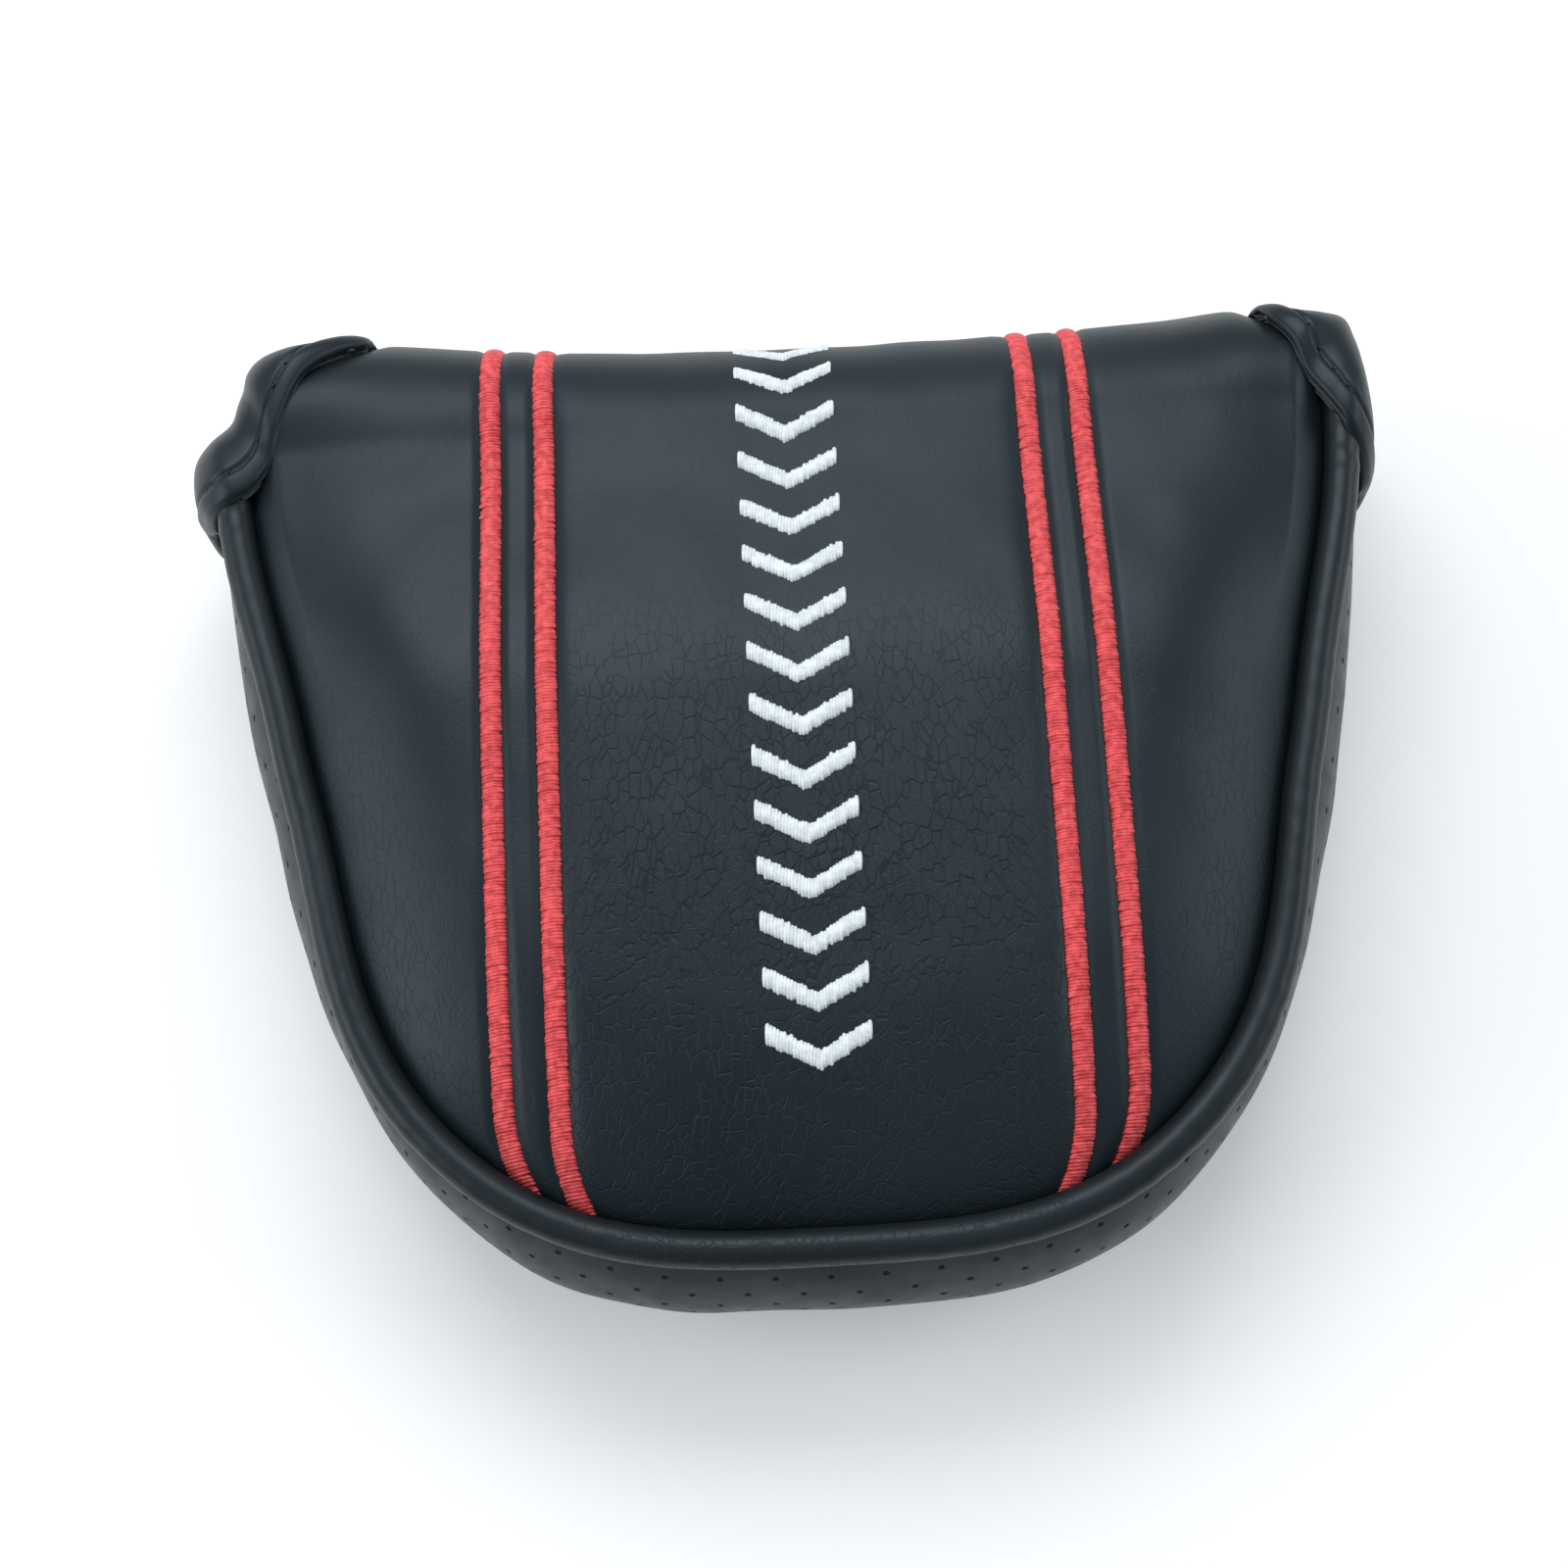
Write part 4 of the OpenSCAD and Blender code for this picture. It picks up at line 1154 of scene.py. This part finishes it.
def smooth_path(marks, count):
    """Evenly spaced points on a Catmull-Rom curve through the marks."""
    marks = np.array(marks, float)
    ends = np.concatenate([2 * marks[:1] - marks[1:2], marks, 2 * marks[-1:] - marks[-2:-1]])
    u = np.linspace(0, len(marks) - 1, 60 * len(marks))
    k = np.minimum(u.astype(int), len(marks) - 2)
    t = (u - k)[:, None]
    a, b, c, d = ends[k], ends[k + 1], ends[k + 2], ends[k + 3]
    curve = b + t * (c - a + t * (2 * a - 5 * b + 4 * c - d + t * (3 * b - a - 3 * c + d))) / 2
    run = np.concatenate([[0], np.cumsum(np.linalg.norm(np.diff(curve, axis=0), axis=1))])
    at = np.linspace(0, run[-1], count)
    return np.stack([np.interp(at, run, axis) for axis in curve.T], -1)


def run_along(grid, axis):
    """Length run along an axis of a grid of points, from its first row or column."""
    step = np.linalg.norm(np.diff(grid, axis=axis), axis=-1)
    start = np.zeros_like(np.take(step, [0], axis=axis))
    return np.cumsum(np.concatenate([start, step], axis=axis), axis=axis)


def hood_surface(hem, outline, rows, cols, crease, crease_at, seed):
    """Points, outward directions and distance from the edge for a hood between hem and outline.

    In plan a point is a mix of hem and outline by t = cos(a)^(2/p), and its height follows
    sin(a)^(2/p): a superellipse of power p. Crown, valley, folds, hem band and groove are added
    along the outward direction.
    """
    hem_line = smooth_path(hem, rows)[:, None]
    outer_line = smooth_path([(*mark, HOOD_MID_Z) for mark in outline], rows)[:, None]
    p = np.linspace(0, 1, rows)[:, None]
    u = np.linspace(1, -1, cols)[None, :]
    near, far = np.abs(u) ** 1.4, (1 - np.abs(u)) ** 1.4
    angle = np.pi / 2 * np.sign(u) * near / (near + far)
    t = np.cos(angle) ** (2 / HOOD_POWER)
    plan = mix(hem_line[..., :2], outer_line[..., :2], t[..., None])
    rise = np.sign(angle) * np.abs(np.sin(angle)) ** (2 / HOOD_POWER)
    z = HOOD_MID_Z + (hem_line[..., 2] - HOOD_MID_Z) * rise
    base = np.concatenate([plan, z[..., None]], -1)
    out = unit(np.cross(np.gradient(base, axis=0), np.gradient(base, axis=1)))
    middle = np.array([base[..., 0].mean() * 0.93, 41.0, HOOD_MID_Z])
    out = out * np.sign(np.sum(out * (base - middle)))
    down, along = run_along(base, 1), run_along(base, 0)
    sides = [down, down[:, -1:] - down, along, along[-1:] - along]
    e = np.maximum(-0.8 * np.log(sum(np.exp(-side / 0.8) for side in sides)), 0)
    crown = 0.5 * np.sin(np.pi * np.clip(t / 0.9, 0, 1)) * smooth(e / 3) * np.sign(angle)
    front = smooth(rise + 0.4)
    valley = -crease * front * np.exp(-(((p - crease_at + 0.05 * (1 - t)) / 0.045) ** 2)) * smooth(e / 6)
    folds = 0.07 * wave_noise(along, down, 14, seed) * smooth((e - HEM_W) / 3)
    band = 0.30 * np.sin(np.pi * np.clip(e / HEM_W, 0, 1)) ** 0.6
    groove = -0.34 * np.exp(-(((e - HEM_W - 0.1) / 0.27) ** 2))
    height = crown + valley + folds + band + groove
    return base + out * height[..., None], out, e


# %% Hoods
def sheet_marks(*marks):
    """Marks given as x and s on the sheet, as points 0.5 mm above it."""
    return [tuple(sheet_point(np.array(x), np.array(s), -0.5)) for x, s in marks]


def hood(name, node, lining_node, hem, outline, crease, crease_at, seed):
    """A closed leather shell with a round rim, its hem stitches, and the fleece inside it."""
    face, out, e = hood_surface(hem, outline, 120, 150, crease, crease_at, seed)
    rim = HOOD_T / 2 * (1 - np.sqrt(1 - (1 - np.clip(e / RIM_R, 0, 1)) ** 2))[..., None]
    piece = shell(name, face - out * rim, face - out * (HOOD_T - rim), hood_leather)
    finish_piece(piece, "pouch", "panel_leather", node)
    row = np.interp(np.arange(2.6, 60, HEM_STITCH), run_along(face, 0)[:, 12], np.arange(120)).astype(int)
    row = row[(row > 4) & (row < 112)]
    column = np.argmax(e[row, :70] > HEM_W + 0.05, axis=1)
    start, beyond = face[row, column], face[np.minimum(row + 3, 119), column]
    end = mix(start, beyond, 0.9)
    thread_piece = stitches(name + "_stitches", start, end, out[row, column], 0.15, 0.3, black_thread)
    finish_piece(thread_piece, "pouch", "panel_leather")
    face, out, e = hood_surface(hem, outline, 50, 60, crease, crease_at, seed)
    inside = np.clip(e / 2.5, 0.1, 1)[..., None]
    fleece_piece = shell(name + "_fleece", face - out * 1.5, face - out * (1.6 + 0.7 * inside), fleece_lining)
    finish_piece(fleece_piece, "pouch", "fleece_lining", lining_node)


left_hem = [(-44.0, 51.0, 28.0), *sheet_marks((-47.1, 8.4), (-50.7, 5.6), (-53.2, 1.2), (-54.4, -2.6))]
left_hem += [(-56.1, 34.4, 31.2), (-58.4, 32.9, 31.3), (-60.7, 32.1, 29.0)]
left_hem += [(-61.8, 32.3, 25.0), (-62.4, 32.8, 20.5)]
left_outline = [(-44.0, 53.6), (-50.0, 52.2), (-56.4, 52.0), (-59.3, 48.7), (-59.7, 45.0)]
left_outline += [(-63.6, 41.0), (-63.9, 36.5), (-62.9, 33.0)]
hood("left_hood_leather", "left_hood", "left_hood_lining", left_hem, left_outline, 0.5, 0.5, 70)
right_hem = [(51.0, 50.1, 27.8), *sheet_marks((52.3, 7.3), (54.1, 4.6), (55.4, 1.4))]
right_hem += [(57.2, 38.0, 31.4), (59.0, 35.0, 31.3), (60.8, 32.6, 28.6)]
right_hem += [(61.9, 31.0, 24.5), (62.3, 30.6, 20.0)]
right_outline = [(51.0, 51.6), (56.2, 50.3), (61.4, 50.7), (62.4, 47.9), (62.7, 44.0)]
right_outline += [(63.0, 40.4), (62.8, 36.4), (62.6, 31.0)]
hood("right_hood_leather", "right_hood", "right_hood_lining", right_hem, right_outline, 0.0, 0.5, 75)

# %% [markdown]
# ## Back panel
# The back is flat, because the tongue lies on it, with a low pad beyond the tongue's end on which the
# cover rests. Its leather turns round the mouth's edge and is sewn to the fleece inside.

# %% Back panel
BACK_FLAT_Z = 4.4
BACK_INSIDE_Z = 9.6
back_turn_r = (BACK_INSIDE_Z - BACK_FLAT_Z) / 2


def back_face_z(x, y):
    """4.4 mm under the tongue, and down to the table beyond it where it is well inside the seam."""
    share = 1 - (1 - np.minimum(edge_distance(x, y, SEAM_INSET) / 16, 1)) ** 2.5
    edge = 1.3 * np.exp(-edge_distance(x, y, PANEL_INSET) / 1.2) * (1 - smooth((y - 26) / 6))
    soft = 0.06 * wave_noise(x, y, 11, 91) * smooth((26 - y) / 8)
    return BACK_FLAT_Z * (1 - smooth((-11 - y) / 10) * share) + edge + np.abs(soft)


def back_end_y(x):
    """Mouth edge: a notch for the shaft between two corners that run up to the hoods."""
    return mix(31.0, 37.0, smooth((np.abs(x) - 41) / 8))


def back_columns(inset, count):
    """x of the columns, closer together towards the sides."""
    widest = 0.985 * (HALF_W - inset)
    return widest * np.sin(np.linspace(-np.pi / 2, np.pi / 2, count))


def back_sheet(inset, count, rows, end):
    """x and y over the back from its outline to the mouth edge less end."""
    x = back_columns(inset, count)[None, :]
    v = np.linspace(0, 1, rows)[:, None] ** 1.2
    y = mix(outline_y(x, inset), back_end_y(x) - end, v)
    return x + 0 * y, y


def back_leather(radius_cut):
    """The flat sheet, then a half circle round the mouth edge, taken in by radius_cut."""
    x, y = back_sheet(PANEL_INSET, 130, 120, back_turn_r)
    flat = np.stack([x, y, back_face_z(x, y) + radius_cut], -1)
    turn = np.linspace(0, np.pi, 18)[1:, None]
    r = back_turn_r - radius_cut
    turned_y = y[-1:] + r * np.sin(turn)
    turned_z = BACK_FLAT_Z + back_turn_r - r * np.cos(turn)
    turned = np.stack([x[-1:] + 0 * turned_y, turned_y, turned_z + 0 * turned_y], -1)
    return np.concatenate([flat, turned])


back = shell("back_leather", back_leather(0), back_leather(LEATHER), panel_leather)
finish_piece(back, "pouch", "panel_leather", "back_panel")

x, y = back_sheet(7.7, 60, 50, back_turn_r)
low_face = np.stack([x, y, back_face_z(x, y) + LEATHER + GAP], -1)
high_face = np.stack([x, y, np.full_like(x, BACK_INSIDE_Z - LEATHER - GAP)], -1)
back_pad = shell("back_foam_pad", low_face, high_face, pad_foam)
finish_piece(back_pad, "pouch", "foam", "back_foam")

x, y = back_sheet(7.7, 60, 50, back_turn_r + 0.1)
nap = 0.12 * wave_noise(x, y, 6, 95)
low_face = np.stack([x, y, np.full_like(x, BACK_INSIDE_Z - LEATHER)], -1)
high_face = np.stack([x, y, BACK_INSIDE_Z - 0.15 + nap], -1)
back_fleece = shell("back_fleece", low_face, high_face, fleece_lining)
finish_piece(back_fleece, "pouch", "fleece_lining", "back_lining")

# %% [markdown]
# ## Pieces kept from the CAD model
# The magnet discs have their true shape already, so they only get their material.

# %% Magnets
KEPT = {
    "back_magnets": magnet_steel,
    "tongue_magnets": magnet_steel,
}
for node, material in KEPT.items():
    mesh = frame["nodes"][node].data
    mesh.materials.clear()
    mesh.materials.append(material)
print("kept from the CAD model:", ", ".join(KEPT))

# %% [markdown]
# ## Floor and last words
# The cover lies on a large pale sheet, a hair below it. The sheet glows faintly, so that the
# shadow on it stays light.

# %% Floor, size and finish
floor_finish = Finish("floor")
shade = floor_finish.noise(floor_finish.place(), 300)
pale = floor_finish.blend(shade, (0.93, 0.93, 0.93, 1), (0.95, 0.95, 0.95, 1))
glow = {"Emission_Color": (1, 1, 1, 1), "Emission_Strength": 0.12}
floor_finish.surface(pale, shade.step(0, 1, 0.6, 0.7), shade * 0.001, **glow)
corners = 1500.0 * np.array([[-1, -1, 0], [1, -1, 0], [1, 1, 0], [-1, 1, 0.0]]) - [0, 0, 0.2]
floor = make_piece("floor", corners, np.array([[0, 1, 2, 3]]), floor_finish.material, closed=False)
